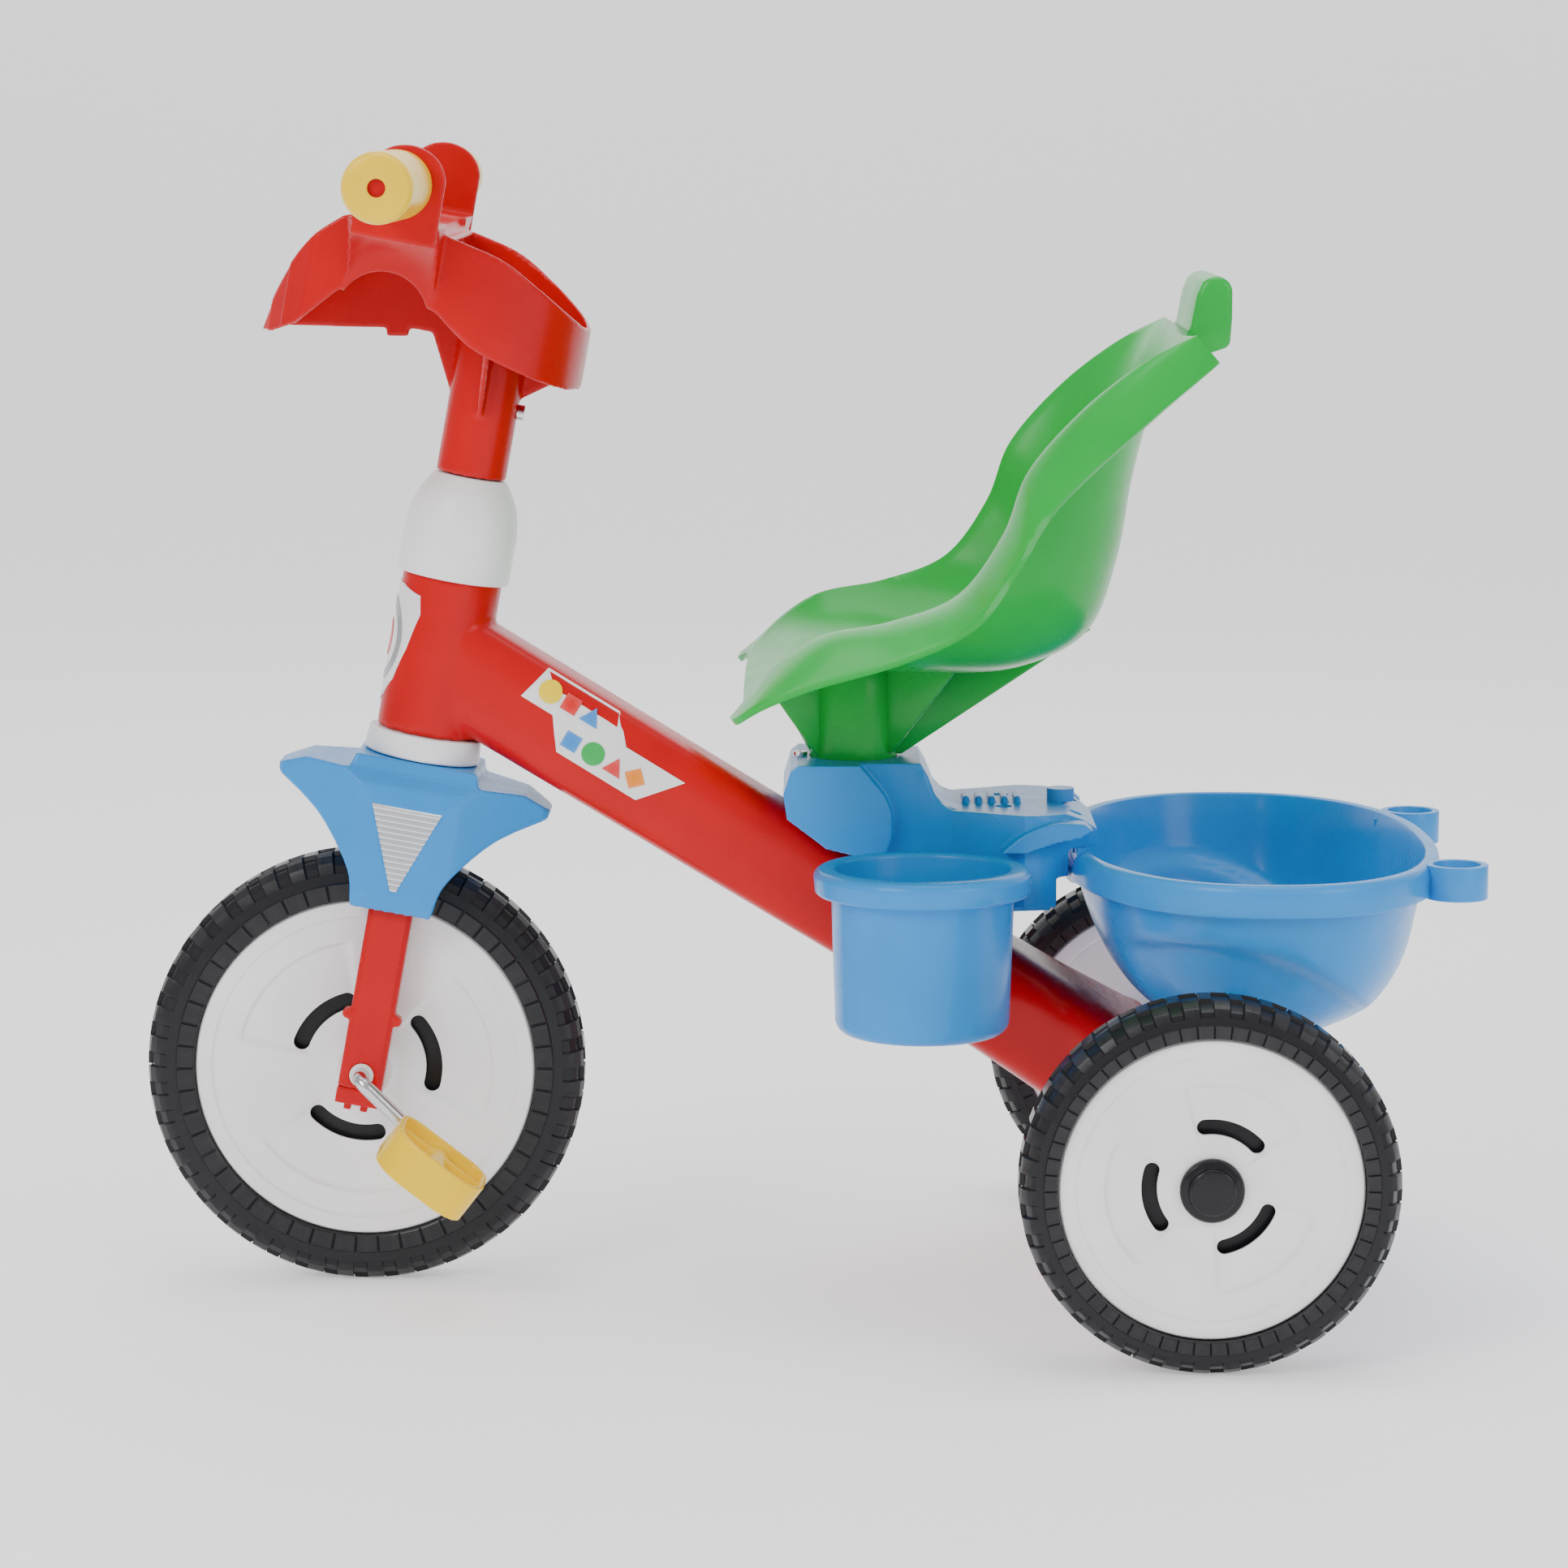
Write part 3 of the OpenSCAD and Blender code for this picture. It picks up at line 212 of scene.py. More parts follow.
LOOKS = {
    "red_plastic": moulded("red_moulding", (0.56, 0.0, 0.004)),
    "blue_plastic": moulded("blue_moulding", (0.022, 0.27, 0.70)),
    "green_plastic": moulded("green_moulding", (0.0, 0.40, 0.045)),
    "yellow_plastic": moulded("yellow_moulding", (0.95, 0.60, 0.0)),
    "white_plastic": moulded("white_moulding", (0.92, 0.92, 0.93), gloss=0.26, edge_highlight=0.03),
    "nylon": moulded("nylon", (0.80, 0.79, 0.74), gloss=0.4, coat=0.0),
    "label_film": moulded("label_film", (0.88, 0.88, 0.89), gloss=0.14, edge_highlight=0.02),
    "tyre_plastic": moulded("tyre_plastic", (0.014, 0.014, 0.017), gloss=0.30, coat=0.10, grain=0.25,
                            edge_highlight=0.05),
    "black_plastic": moulded("black_moulding", (0.010, 0.010, 0.012), gloss=0.26, coat=0.2, edge_highlight=0.04),
    "reflector": moulded("reflector_plastic", (0.72, 0.74, 0.78), gloss=0.12, coat=0.4, metallic=0.55),
    "zinc_steel": moulded("zinc_steel", (0.66, 0.67, 0.69), gloss=0.2, coat=0.0, metallic=1.0, grain=0.12),
}


def dress_cad_nodes():
    """Every CAD node takes the look of its slot in the record."""
    for row in frame["record"]["subparts"]:
        data = frame["nodes"][row["node"]].data
        data.materials.clear()
        data.materials.append(LOOKS[row["material_slot"]])


# ---- Mesh helpers ----


def shade(bm, sharp):
    """Smooth shading that breaks at edges sharper than the given angle in degrees."""
    for face in bm.faces:
        face.smooth = True
    for edge in bm.edges:
        edge.smooth = edge.calc_face_angle(0) < math.radians(sharp)


def piece(name, bm, slot, body, place=MILLIMETRES, replaces=(), sharp=38, look=None):
    """Makes a piece from bm, placed by the matrix place, which rides on body."""
    bmesh.ops.transform(bm, matrix=place, verts=bm.verts)
    bmesh.ops.remove_doubles(bm, verts=bm.verts, dist=1e-6)
    bmesh.ops.recalc_face_normals(bm, faces=bm.faces)
    shade(bm, sharp)
    mesh = bpy.data.meshes.new(name)
    bm.to_mesh(mesh)
    bm.free()
    obj = bpy.data.objects.new(name, mesh)
    bpy.context.scene.collection.objects.link(obj)
    mesh.materials.append(look or LOOKS[slot])
    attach(obj, body)
    if replaces:
        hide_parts(*replaces)
    return obj


def loose(name, bm):
    """A helper object that isn't a piece, made from bm."""
    bmesh.ops.recalc_face_normals(bm, faces=bm.faces)
    mesh = bpy.data.meshes.new(name)
    bm.to_mesh(mesh)
    bm.free()
    obj = bpy.data.objects.new(name, mesh)
    bpy.context.scene.collection.objects.link(obj)
    return obj


def freeze(obj, sharp=None):
    """Applies obj's modifiers."""
    bpy.context.view_layer.update()
    graph = bpy.context.evaluated_depsgraph_get()
    mesh = bpy.data.meshes.new_from_object(obj.evaluated_get(graph))
    obj.modifiers.clear()
    obj.data = mesh
    if sharp is not None:
        bm = bmesh.new()
        bm.from_mesh(mesh)
        shade(bm, sharp)
        bm.to_mesh(mesh)
        bm.free()
    return obj


def combined(obj, other, operation, sharp=None):
    """obj intersected with, or cut by, other, which is used up."""
    boolean = obj.modifiers.new("cut", "BOOLEAN")
    boolean.object = other
    boolean.operation = operation
    boolean.solver = "EXACT"
    freeze(obj, sharp)
    bpy.data.objects.remove(other)
    return obj


def thickened(obj, thickness):
    """Gives a film its thickness, in millimetres."""
    solid = obj.modifiers.new("thickness", "SOLIDIFY")
    solid.thickness = thickness * MM
    solid.offset = 0
    return freeze(obj, 40)


def rounded(obj, radius, segments=3, angle=34):
    """Rounds obj's sharp edges by radius, in millimetres."""
    bevel = obj.modifiers.new("rounded", "BEVEL")
    bevel.width = radius * MM
    bevel.segments = segments
    bevel.limit_method = "ANGLE"
    bevel.angle_limit = math.radians(angle)
    bevel.use_clamp_overlap = True
    return freeze(obj, 40)


def melted(obj, voxel, passes, keep=0.5):
    """Joins overlapping solids into one skin with soft inner and outer corners."""
    remesh = obj.modifiers.new("skin", "REMESH")
    remesh.mode = "VOXEL"
    remesh.voxel_size = voxel * MM
    remesh.use_smooth_shade = True
    smooth = obj.modifiers.new("soften", "SMOOTH")
    smooth.factor = 0.5
    smooth.iterations = passes
    thin = obj.modifiers.new("thin", "DECIMATE")
    thin.ratio = keep
    return freeze(obj)


def remoulded(node, slot, body, voxel, passes, keep=0.5):
    """A copy of a CAD node with the soft corners of a moulding, which stands for the node."""
    bm = bmesh.new()
    bm.from_mesh(frame["nodes"][node].data)
    bmesh.ops.remove_doubles(bm, verts=bm.verts, dist=1e-5)
    obj = piece(node + "_moulding", bm, slot, body, IDENTITY, [node])
    return melted(obj, voxel, passes, keep)


def add_loft(bm, rings, caps=True):
    """Skins rings that all have the same number of points."""
    rows = [[bm.verts.new(p) for p in ring] for ring in rings]
    count = len(rings[0])
    for a, b in zip(rows, rows[1:]):
        for i in range(count):
            j = (i + 1) % count
            bm.faces.new((a[i], a[j], b[j], b[i]))
    if caps:
        bm.faces.new(rows[0])
        bm.faces.new(rows[-1])


def loft(rings, caps=True):
    bm = bmesh.new()
    add_loft(bm, rings, caps)
    return bm


def add_lathe(bm, section, columns=96, shift=None, place=IDENTITY):
    """Turns a closed (radius, height) section round Z. shift(angle, k) may move section point k."""
    angles = columns if isinstance(columns, list) else [360 * i / columns for i in range(columns)]
    rings = []
    for angle in angles + [angles[0]]:
        a = math.radians(angle)
        ring = []
        for k, (r, h) in enumerate(section):
            dr, dh = shift(angle % 360, k) if shift else (0, 0)
            ring.append(place @ Vector(((r + dr) * math.cos(a), (r + dr) * math.sin(a), h + dh)))
        rings.append(ring)
    add_loft(bm, rings, caps=False)


def lathe(section, columns=96, shift=None):
    bm = bmesh.new()
    add_lathe(bm, section, columns, shift)
    return bm


def add_plate(bm, outline, thickness, place=IDENTITY):
    """A flat plate from an (x, z) outline, centred on y = 0."""
    rings = [[place @ Vector((x, y, z)) for x, z in outline] for y in (-thickness / 2, thickness / 2)]
    add_loft(bm, rings)


def plate(outline, thickness, place=IDENTITY):
    bm = bmesh.new()
    add_plate(bm, outline, thickness, place)
    return bm


def add_rod(bm, x, z, radius, y0, y1, columns=64):
    """A cylinder across the tricycle."""
    ring = [(x + radius * math.cos(a), z + radius * math.sin(a))
            for a in (2 * math.pi * i / columns for i in range(columns))]
    add_loft(bm, [[Vector((px, y, pz)) for px, pz in ring] for y in (y0, y1)])


def step(low, high, value):
    """0 below low, 1 above high, and smooth between."""
    t = min(max((value - low) / (high - low), 0), 1)
    return t * t * (3 - 2 * t)


def on_curve(points, u):
    """A point at u, from 0 to 1, on a smooth curve through points."""
    last = len(points) - 1
    k = min(int(u * last), last - 1)
    t = u * last - k
    a, b, c, d = (points[min(max(i, 0), last)] for i in (k - 1, k, k + 1, k + 2))
    if not isinstance(b, (tuple, list)):
        return on_curve([(p,) for p in points], u)[0]
    return tuple(
        0.5 * (2 * q + (r - p) * t + (2 * p - 5 * q + 4 * r - s) * t * t + (3 * q - p - 3 * r + s) * t ** 3)
        for p, q, r, s in zip(a, b, c, d))


def along(points, x):
    """The value at x on straight lines through (x, value) points."""
    for (x0, v0), (x1, v1) in zip(points, points[1:]):
        if x <= x1:
            return v0 + (v1 - v0) * max(x - x0, 0) / (x1 - x0)
    return points[-1][1]


def arc(centre, radius, degrees, tall=None):
    """Points at the given degrees on a circle, or on an ellipse with tall as its upright radius."""
    x, z = centre
    tall = radius if tall is None else tall
    return [(x + radius * math.cos(math.radians(a)), z + tall * math.sin(math.radians(a))) for a in degrees]


def power_curve(t, exponent):
    """Cosine and sine of t in degrees, squared off by the exponent."""
    c, s = math.cos(math.radians(t)), math.sin(math.radians(t))
    return (math.copysign(abs(c) ** exponent, c), math.copysign(abs(s) ** exponent, s))


# ---- Main frame ----

TUBE_TOP = [(-205, 385.4), (165, 157.8), (190, 140), (207, 118)]
TUBE_BOTTOM = [(-200, 313), (15, 184), (89, 134), (135, 104), (180, 78), (207, 78)]
TUBE_HALF = [(-205, 24), (-150, 26), (20, 30), (75, 34), (113, 43), (142, 56), (165, 76), (182, 104),
             (194, 140), (207, 150)]
TUBE_SQUARE = 4.0  # exponent of the tube's rounded square section


def tube_section(x):
    """Middle height, half height and half width of the down tube at x."""
    top, bottom = along(TUBE_TOP, x), along(TUBE_BOTTOM, x)
    return (top + bottom) / 2, (top - bottom) / 2, along(TUBE_HALF, x)


def make_frame():
    rings = []
    for i in range(81):
        x = -196 + (207 + 196) * i / 80
        middle, tall, wide = tube_section(x)
        ring = []
        for k in range(64):
            c, s = power_curve(360 * k / 64, 2 / TUBE_SQUARE)
            ring.append(Vector((x, wide * c, middle + tall * s)))
        rings.append(ring)
    bm = loft(rings)
    axle = [v / MM for v in joint("rear_wheel_left_spin")["pos_m"]]
    add_rod(bm, axle[0], axle[2], 22, -160, 160)
    head = [(0, 187), (27, 187), (27, 276), (0, 276)]
    add_lathe(bm, head, 96, place=MILLIMETRES.inverted() @ STEERING)
    frame_skin = piece("main_frame_moulding", bm, "red_plastic", "frame", replaces=["main_frame"])
    melted(frame_skin, 1.7, 9, 0.6)


def flank(x, z, lift):
    """The point on the tube's left flank at x and z, lifted off it."""
    middle, tall, wide = tube_section(x)
    v = min(abs(z - middle) / tall, 0.98)
    return Vector((x, -(wide * (1 - v ** TUBE_SQUARE) ** (1 / TUBE_SQUARE) + lift), z))


LABEL_MIDDLE = (-107, 301)
LABEL_SLOPE = math.atan(0.615)
FILM = 0.5  # thickness of labels and prints
SHAPE_RADIUS = 6.4
BADGE_RADIUS = 27.9  # of the curve that the badge's prints follow
BADGE_HEIGHT = 235


def film(name, outline, lift, look, mirror, replaces=()):
    """A thin film on the tube's flank, from an outline along and across the tube."""
    bm = bmesh.new()
    face = bm.faces.new([bm.verts.new((u, 0, v)) for u, v in outline])
    bmesh.ops.triangulate(bm, faces=[face])
    bmesh.ops.subdivide_edges(bm, edges=bm.edges[:], cuts=3, use_grid_fill=True)
    cos, sin = math.cos(LABEL_SLOPE), math.sin(LABEL_SLOPE)
    for vert in bm.verts:
        u, v = vert.co.x, vert.co.z
        x, z = LABEL_MIDDLE[0] + u * cos + v * sin, LABEL_MIDDLE[1] - u * sin + v * cos
        vert.co = flank(x, z, lift)
    place = MILLIMETRES @ MIRROR if mirror else MILLIMETRES
    return thickened(piece(name, bm, "label_film", "frame", place, replaces, look=look), FILM)


PRINTS = {
    "yellow": moulded("yellow_print", (0.95, 0.68, 0.01), gloss=0.15),
    "red": moulded("red_print", (0.75, 0.02, 0.02), gloss=0.15),
    "blue": moulded("blue_print", (0.03, 0.25, 0.70), gloss=0.15),
    "green": moulded("green_print", (0.02, 0.42, 0.08), gloss=0.15),
    "orange": moulded("orange_print", (0.90, 0.25, 0.01), gloss=0.15),
    "silver": moulded("silver_print", (0.42, 0.43, 0.45), gloss=0.15, metallic=0.5),
}
# Plain shapes printed on the label: place along and across it, corners, turn, colour
LABEL_SHAPES = [
    (-39.5, 8.2, 32, 0, "yellow"), (-26.5, 8.2, 4, 45, "red"), (-13.5, 7.2, 3, 90, "blue"),
    (-16, -9, 4, 45, "blue"), (-2.5, -8.5, 32, 0, "green"), (11, -9.5, 3, 90, "red"),
    (23.5, -8, 4, 0, "orange")]


def make_labels():
    outline = [(-52, -2), (-47, 18), (-2, 18), (4, 4), (48, 4), (30, -18), (-20, -18), (-25, -2)]
    for side, mirror in (("left", False), ("right", True)):
        film(f"side_label_{side}_film", outline, 0.3, LOOKS["label_film"], mirror, [f"side_label_{side}"])
        for n, (u, v, corners, turn, colour) in enumerate(LABEL_SHAPES):
            shape = arc((u, v), SHAPE_RADIUS, [turn + 360 * i / corners for i in range(corners)])
            film(f"side_print_{side}_{n}", shape, 0.75, PRINTS[colour], mirror)


def make_badge():
    """A plain silver ring and a plain red disc on the head tube's shield."""
    r = BADGE_RADIUS
    turns = [2 * math.pi * i / 64 for i in range(64)]

    def circle(size):
        line = [(size * math.cos(t), BADGE_HEIGHT + 1.15 * size * math.sin(t)) for t in turns]
        return [Vector((-math.cos(a / r) * r, math.sin(a / r) * r, s)) for a, s in line]

    for name, outer, inner, colour in (("badge_ring", 20.5, 16.5, "silver"), ("badge_disc", 9, 0.05, "red")):
        bm = loft([circle(outer), circle(inner)], caps=False)
        thickened(piece(name, bm, "label_film", "frame", STEERING, look=PRINTS[colour]), FILM)


def make_head():
    cap = [(12, 280), (27.1, 280), (27.1, 273), (29.9, 273), (30.5, 274.5), (30.5, 298)]
    cap += [on_curve([(30.4, 301), (28.6, 311), (25.6, 319), (22, 325)], i / 10) for i in range(11)]
    cap += [(19.6, 328.6), (12, 329)]
    collar = [(12, 173.8), (30.5, 173.8), (31.5, 174.8), (30.5, 187), (12, 187)]
    for node, section in (("head_cap", cap), ("lower_collar", collar)):
        rounded(piece(node + "_moulding", lathe(section), "white_plastic", "frame", STEERING, [node]), 0.7)


# ---- Seat base, cup and basket ----


def make_cup():
    rim, deep, r, lip, floor_round, lip_round = 246, 88, 45.5, 57.3, 8, 5
    floor = rim - deep
    section = [(0, floor), (37, floor)]
    section += arc((38, floor + floor_round), floor_round, range(-80, -4, 12))
    section += [(48, rim - 14), (55, rim - 14), (56.6, rim - 12.5), (lip, rim - 5)]
    section += arc((lip - lip_round, rim - lip_round), lip_round, range(15, 91, 15))
    section += [(r + 2, rim), (r + 0.4, rim - 0.8), (r, rim - 2.5), (43.2, floor + 12)]
    section += [(41.5, floor + 6), (37, floor + 3), (0, floor + 2.5)]
    place = MILLIMETRES @ Matrix.Translation((62.5, -105, 0))
    rounded(piece("cup_moulding", lathe(section, 128), "blue_plastic", "frame", place, ["cup"]), 0.6, 2)


BASKET_LEVELS = [(149, 213, 273, 84), (155, 197, 292, 110), (166, 181, 309, 130), (180, 169, 320, 143),
                 (196, 160, 327, 152), (214, 153, 331, 158), (232, 149, 335, 162)]
BASKET_RIM = 246.5
RIM_ENDS = (147, 338, 164.5)
BASKET_SIDES = 144
DENT = 11  # depth of the hollow over each rear wheel
BASKET_WALL = 2.8
RING_PLACE = (343.5, 96)
RING_BORE, RING_OUTER, RING_HEIGHT = 12.5, 16.5, 18


def basket_ring(level, inset, height, dent=0.0):
    front, rear, half = level
    middle, long, wide = (front + rear) / 2, (rear - front) / 2 - inset, half - inset
    axle = joint("rear_wheel_left_spin")["pos_m"]
    ring = []
    for i in range(BASKET_SIDES):
        c, s = power_curve(360 * i / BASKET_SIDES, 0.86)
        x, y, z = middle + long * c, wide * s, height
        reach = math.hypot(x - axle[0] / MM, z - axle[2] / MM)
        push = dent * (1 - step(108, 118, reach)) * step(0.5, 0.8, abs(s))
        y -= math.copysign(push, y)
        if z > 225 and x < middle:
            z -= 10 * (1 - step(38, 60, abs(y))) * step(225, 240, z)
        ring.append(Vector((x, y, z)))
    return ring


def make_basket():
    steps = 30
    levels = [on_curve(BASKET_LEVELS, i / steps) for i in range(steps + 1)]
    outer = [basket_ring(v[1:], 0, v[0], DENT) for v in levels]
    lip = [(1.2, -4), (-1.8, -4.5), (-2.6, -15), (-3.0, -17), (-5.0, -17), (-5.5, -15.5), (-5.2, -4),
           (-4.6, -1.6), (-3.2, -0.4), (-1.6, 0), (0.8, 0), (2.2, -0.7), (2.9, -2.4)]
    edge = [basket_ring(RIM_ENDS, m, BASKET_RIM + z) for m, z in lip]
    floor = BASKET_LEVELS[0][0] + BASKET_WALL
    inner = [basket_ring(v[1:], BASKET_WALL, max(v[0], floor), DENT) for v in reversed(levels)]
    bm = loft(outer + edge + inner)
    tube = [(RING_BORE, 0), (RING_OUTER, 0), (RING_OUTER, RING_HEIGHT), (RING_BORE, RING_HEIGHT)]
    neck = [(-21, 1), (-13, 1), (-13, 14), (-21, 14)]
    for side, _ in SIDES:
        place = Matrix.Translation((RING_PLACE[0], side * RING_PLACE[1], BASKET_RIM - RING_HEIGHT))
        add_lathe(bm, tube, 64, place=place)
        add_plate(bm, neck, 14, place)
    rounded(piece("basket_moulding", bm, "blue_plastic", "frame", replaces=["basket"], sharp=50), 0.8, 2, 48)


# ---- Seat ----

SEAT_CENTRE = [(-32, 334), (-8, 344), (25, 346), (70, 343), (115, 346), (150, 364), (165, 403), (172, 445),
               (182, 485), (199, 521)]
SEAT_CREST = [(-31, 335), (-13, 355), (10, 369), (45, 376), (80, 390), (103, 421), (116, 454), (144, 486),
              (175, 510), (202, 524)]
SEAT_FLANGE = [(-38, 329), (-22, 338), (5, 348), (50, 361), (86, 378), (107, 406), (124, 433), (146, 455),
               (180, 484), (214, 510)]
SEAT_FLANGE_Y = [158, 157, 155, 153, 150, 148, 145, 140, 132, 116]
SEAT_HALF = 110
SEAT_WALL = 3.5
SEAT_CORNER = 0.05  # length of the rounded corners, as a part of the seat's length
CREST_AT = 0.75  # where the crest runs, from the middle at 0 to the flange's edge at 1


def seat_point(u, v):
    w = abs(v)
    centre, crest, flange = (on_curve(p, u) for p in (SEAT_CENTRE, SEAT_CREST, SEAT_FLANGE))
    inner, outer = min(w / CREST_AT, 1), max((w - CREST_AT) / (1 - CREST_AT), 0)
    lift, roll = inner ** 3.4, outer ** 1.6
    corner = 1 - 0.5 * (1 - math.sqrt(1 - max(1 - min(u, 1 - u) / SEAT_CORNER, 0) ** 2))
    reach = SEAT_HALF * inner + (on_curve(SEAT_FLANGE_Y, u) - SEAT_HALF) * outer * corner
    return Vector((centre[0] + (crest[0] - centre[0]) * lift + (flange[0] - crest[0]) * roll,
                   math.copysign(reach, v),
                   centre[1] + (crest[1] - centre[1]) * lift + (flange[1] - crest[1]) * roll))


def seat_under(u, v):
    d = 0.006
    a = seat_point(min(u + d, 1), v) - seat_point(max(u - d, 0), v)
    b = seat_point(u, min(v + d, 1)) - seat_point(u, max(v - d, -1))
    return seat_point(u, v) + SEAT_WALL * b.cross(a).normalized()


def make_seat():
    strips, stations = 104, 90
    across = [-1 + 2 * i / strips for i in range(strips + 1)]
    rings = []
    for i in range(stations + 1):
        u = i / stations
        rings.append([seat_point(u, v) for v in across] + [seat_under(u, v) for v in reversed(across)])
    shell = piece("seat_shell", loft(rings), "green_plastic", "frame", replaces=["seat"], sharp=50)
    rounded(shell, 1.0, 2, 55)
    post = Matrix.Translation((27, 0, 0))
    bm = bmesh.new()
    add_lathe(bm, [(0, 262), (23.5, 262), (23.5, 344), (0, 344)], 96, place=post)
    ribs = [
        (0, [(0, 295), (26, 291.5), (129, 360), (121, 360), (101, 344.5), (73, 341), (0, 343)]),
        (180, [(0, 300), (23, 292), (39, 320), (44, 331), (30, 338), (0, 341)])]
    ribs += [(a, [(0, 300), (25.5, 294), (66, 341), (40, 343), (0, 343)]) for a in (35, -35)]
    ribs += [(a, [(0, 300), (24, 292), (56, 332), (36, 338), (0, 341)]) for a in (145, -145)]
    for turn, outline in ribs:
        add_plate(bm, outline, 3, post @ Matrix.Rotation(math.radians(turn), 4, "Z"))
    rounded(piece("seat_post_and_ribs", bm, "green_plastic", "frame"), 0.6, 2)
    horn = [(198, 512), (204, 526), (207, 542), (210, 549), (214, 552), (221, 552), (226, 547), (226, 530),
            (225, 515), (207, 509)]
    rounded(piece("seat_horn", plate(horn, 100), "green_plastic", "frame"), 3.2, 4)


# ---- Wheels ----


def wheel_place(centre, side):
    """From a wheel's own frame, its outer face along +Z and +Y up, to the row's frame."""
    turn = Matrix(((1, 0, 0, 0), (0, 0, side, 0), (0, 1, 0, 0), (0, 0, 0, 1)))
    return Matrix.Translation(centre) @ turn @ MILLIMETRES


def make_tyre(name, body, node, place, radius, inner, half, hub, lugs, blocks):
    """The black wheel body: a tyre with lugs and sidewall blocks, and the web behind the discs."""
    depth = radius - inner
    marks = [(0.00, 0.80, ""), (0.03, 0.93, ""), (0.06, 0.955, "block"), (0.36, 0.985, "block"),
             (0.39, 0.93, ""), (0.58, 0.90, ""), (0.61, 0.89, "lug"), (0.80, 0.80, "lug"),
             (0.93, 0.62, "lug"), (0.985, 0.42, "lug"), (0.99, 0.38, "crown"), (1.0, 0.02, "crown")]
    side = [(inner + depth * r, half * h, kind) for r, h, kind in marks]
    side = [(hub + 0.4, 3, ""), (inner + 3, 3, "")] + side
    section = side + [(r, -h, kind) for r, h, kind in reversed(side)]
    lug_turn, block_turn = 360 / lugs, 360 / blocks
    columns = [lug_turn * (i + f) for i in range(lugs) for f in (0, 0.5, 0.56, 0.94)]
    columns += [block_turn * (i + f) + 0.11 for i in range(blocks) for f in (0, 0.05, 0.93, 0.98)]
    columns = sorted(c % 360 for c in columns)
    depths = {"lug": 2.2, "crown": 1.6, "block": 0.8}

    def shift(angle, k):
        r, h, kind = section[k]
        turned = (angle / lug_turn) % 1
        block = ((angle - 0.11) / block_turn) % 1
        raised = {"": True, "lug": turned <= 0.501 or turned > 0.999, "crown": 0.55 < turned < 0.95,
                  "block": 0.049 < block < 0.935}[kind]
        if raised:
            return (0, 0)
        out = step(0.3, 0.95, (r - inner) / depth)
        return (-depths[kind] * out, -math.copysign(depths[kind] * (1 - out), h))

    bm = lathe([(r, h) for r, h, kind in section], columns, shift)
    piece(name, bm, "tyre_plastic", body, place, [node], sharp=24)


def slot_outline(radius, width, half_angle):
    """A curved slot with round ends, centred on angle 0."""
    half = width / 2
    end = half_angle - math.degrees(half / radius)
    sweep = [-end + 2 * end * i / 24 for i in range(25)]
    back = [end - 2 * end * i / 24 for i in range(25)]
    turns = [180 * i / 12 for i in range(1, 12)]
    left, right = arc((0, 0), radius, (end, -end))
    return (arc((0, 0), radius + half, sweep) + arc(left, half, [end + t for t in turns])
            + arc((0, 0), radius - half, back) + arc(right, half, [-end + (180 + t) for t in turns]))


HALF_SLOT = 34  # degrees from a slot's middle to its end
PAD_DEPTH = 2.2


def make_rim(name, node, body, place, hub_end, radius, face, hub, bore, pad, groove, slot, width, centres):
    """One white wheel disc with a hub, three recessed pads, three curved slots and a raised edge."""
    flat, level = hub + 16, pad + 4
    section = [(bore, hub_end), (hub, hub_end), (hub + 1.2, hub_end - 0.4), (hub + 4, face),
               (hub + 9, face - 1.8)]
    first_plain = len(section)
    section += [(r, face - 3 + 3 * step(flat, level, r))
                for r in (flat + (level - flat) * i / 30 for i in range(31))]
    last_plain = len(section)
    section += [(groove - 1.2, face), (groove - 0.5, face - 0.5), (groove + 0.3, face - 0.4),
                (groove + 1.2, face + 0.9), (radius - 3, face + 1.4), (radius - 1.2, face + 1.1),
                (radius - 0.2, face - 0.4), (radius - 0.2, 3.3), (radius - 3, 3.3), (radius - 4, face - 3.2),
                (pad, face - 4.6), (flat, face - 7), (hub, face - 5), (hub, 0.3), (bore, 0.3)]

    def shift(angle, k):
        if not first_plain <= k < last_plain:
            return (0, 0)
        r = section[k][0]
        off = min(abs((angle - c + 180) % 360 - 180) for c in centres)
        inside = step(slot - width / 2 - 4, slot - width / 2, r) * (1 - step(pad - 2.5, pad, r))
        return (0, -PAD_DEPTH * inside * (1 - step(HALF_SLOT - 1, HALF_SLOT + 3.5, off)))

    disc = piece(name, lathe(section, 240, shift), "white_plastic", body, place, [node], sharp=32)
    cutter = bmesh.new()
    for centre in centres:
        turn = Matrix.Rotation(math.radians(centre), 4, "Z")
        outline = slot_outline(slot, width, HALF_SLOT)
        add_loft(cutter, [[turn @ Vector((x, y, h)) for x, y in outline] for h in (face - 12, face + 8)])
    bmesh.ops.transform(cutter, matrix=place, verts=cutter.verts)
    combined(disc, loose("slot_cutter", cutter), "DIFFERENCE", 32)


FRONT_TYRE = dict(radius=120, inner=93, half=19, hub=14, lugs=44, blocks=50)
REAR_TYRE = dict(radius=97.5, inner=78, half=21, hub=13, lugs=38, blocks=60)
FRONT_DISC = dict(hub_end=20.5, radius=93, face=15, hub=14, bore=4.05, pad=71, groove=83, slot=37.5, width=9,
                  centres=(12, 132, 252))
REAR_DISC = dict(radius=78, face=15.5, hub=13, bore=5.05, pad=55, groove=68, slot=31.5, width=8,
                 centres=(70, 190, 310))
REAR_HUB_OUT, REAR_HUB_IN = 15.5, 28


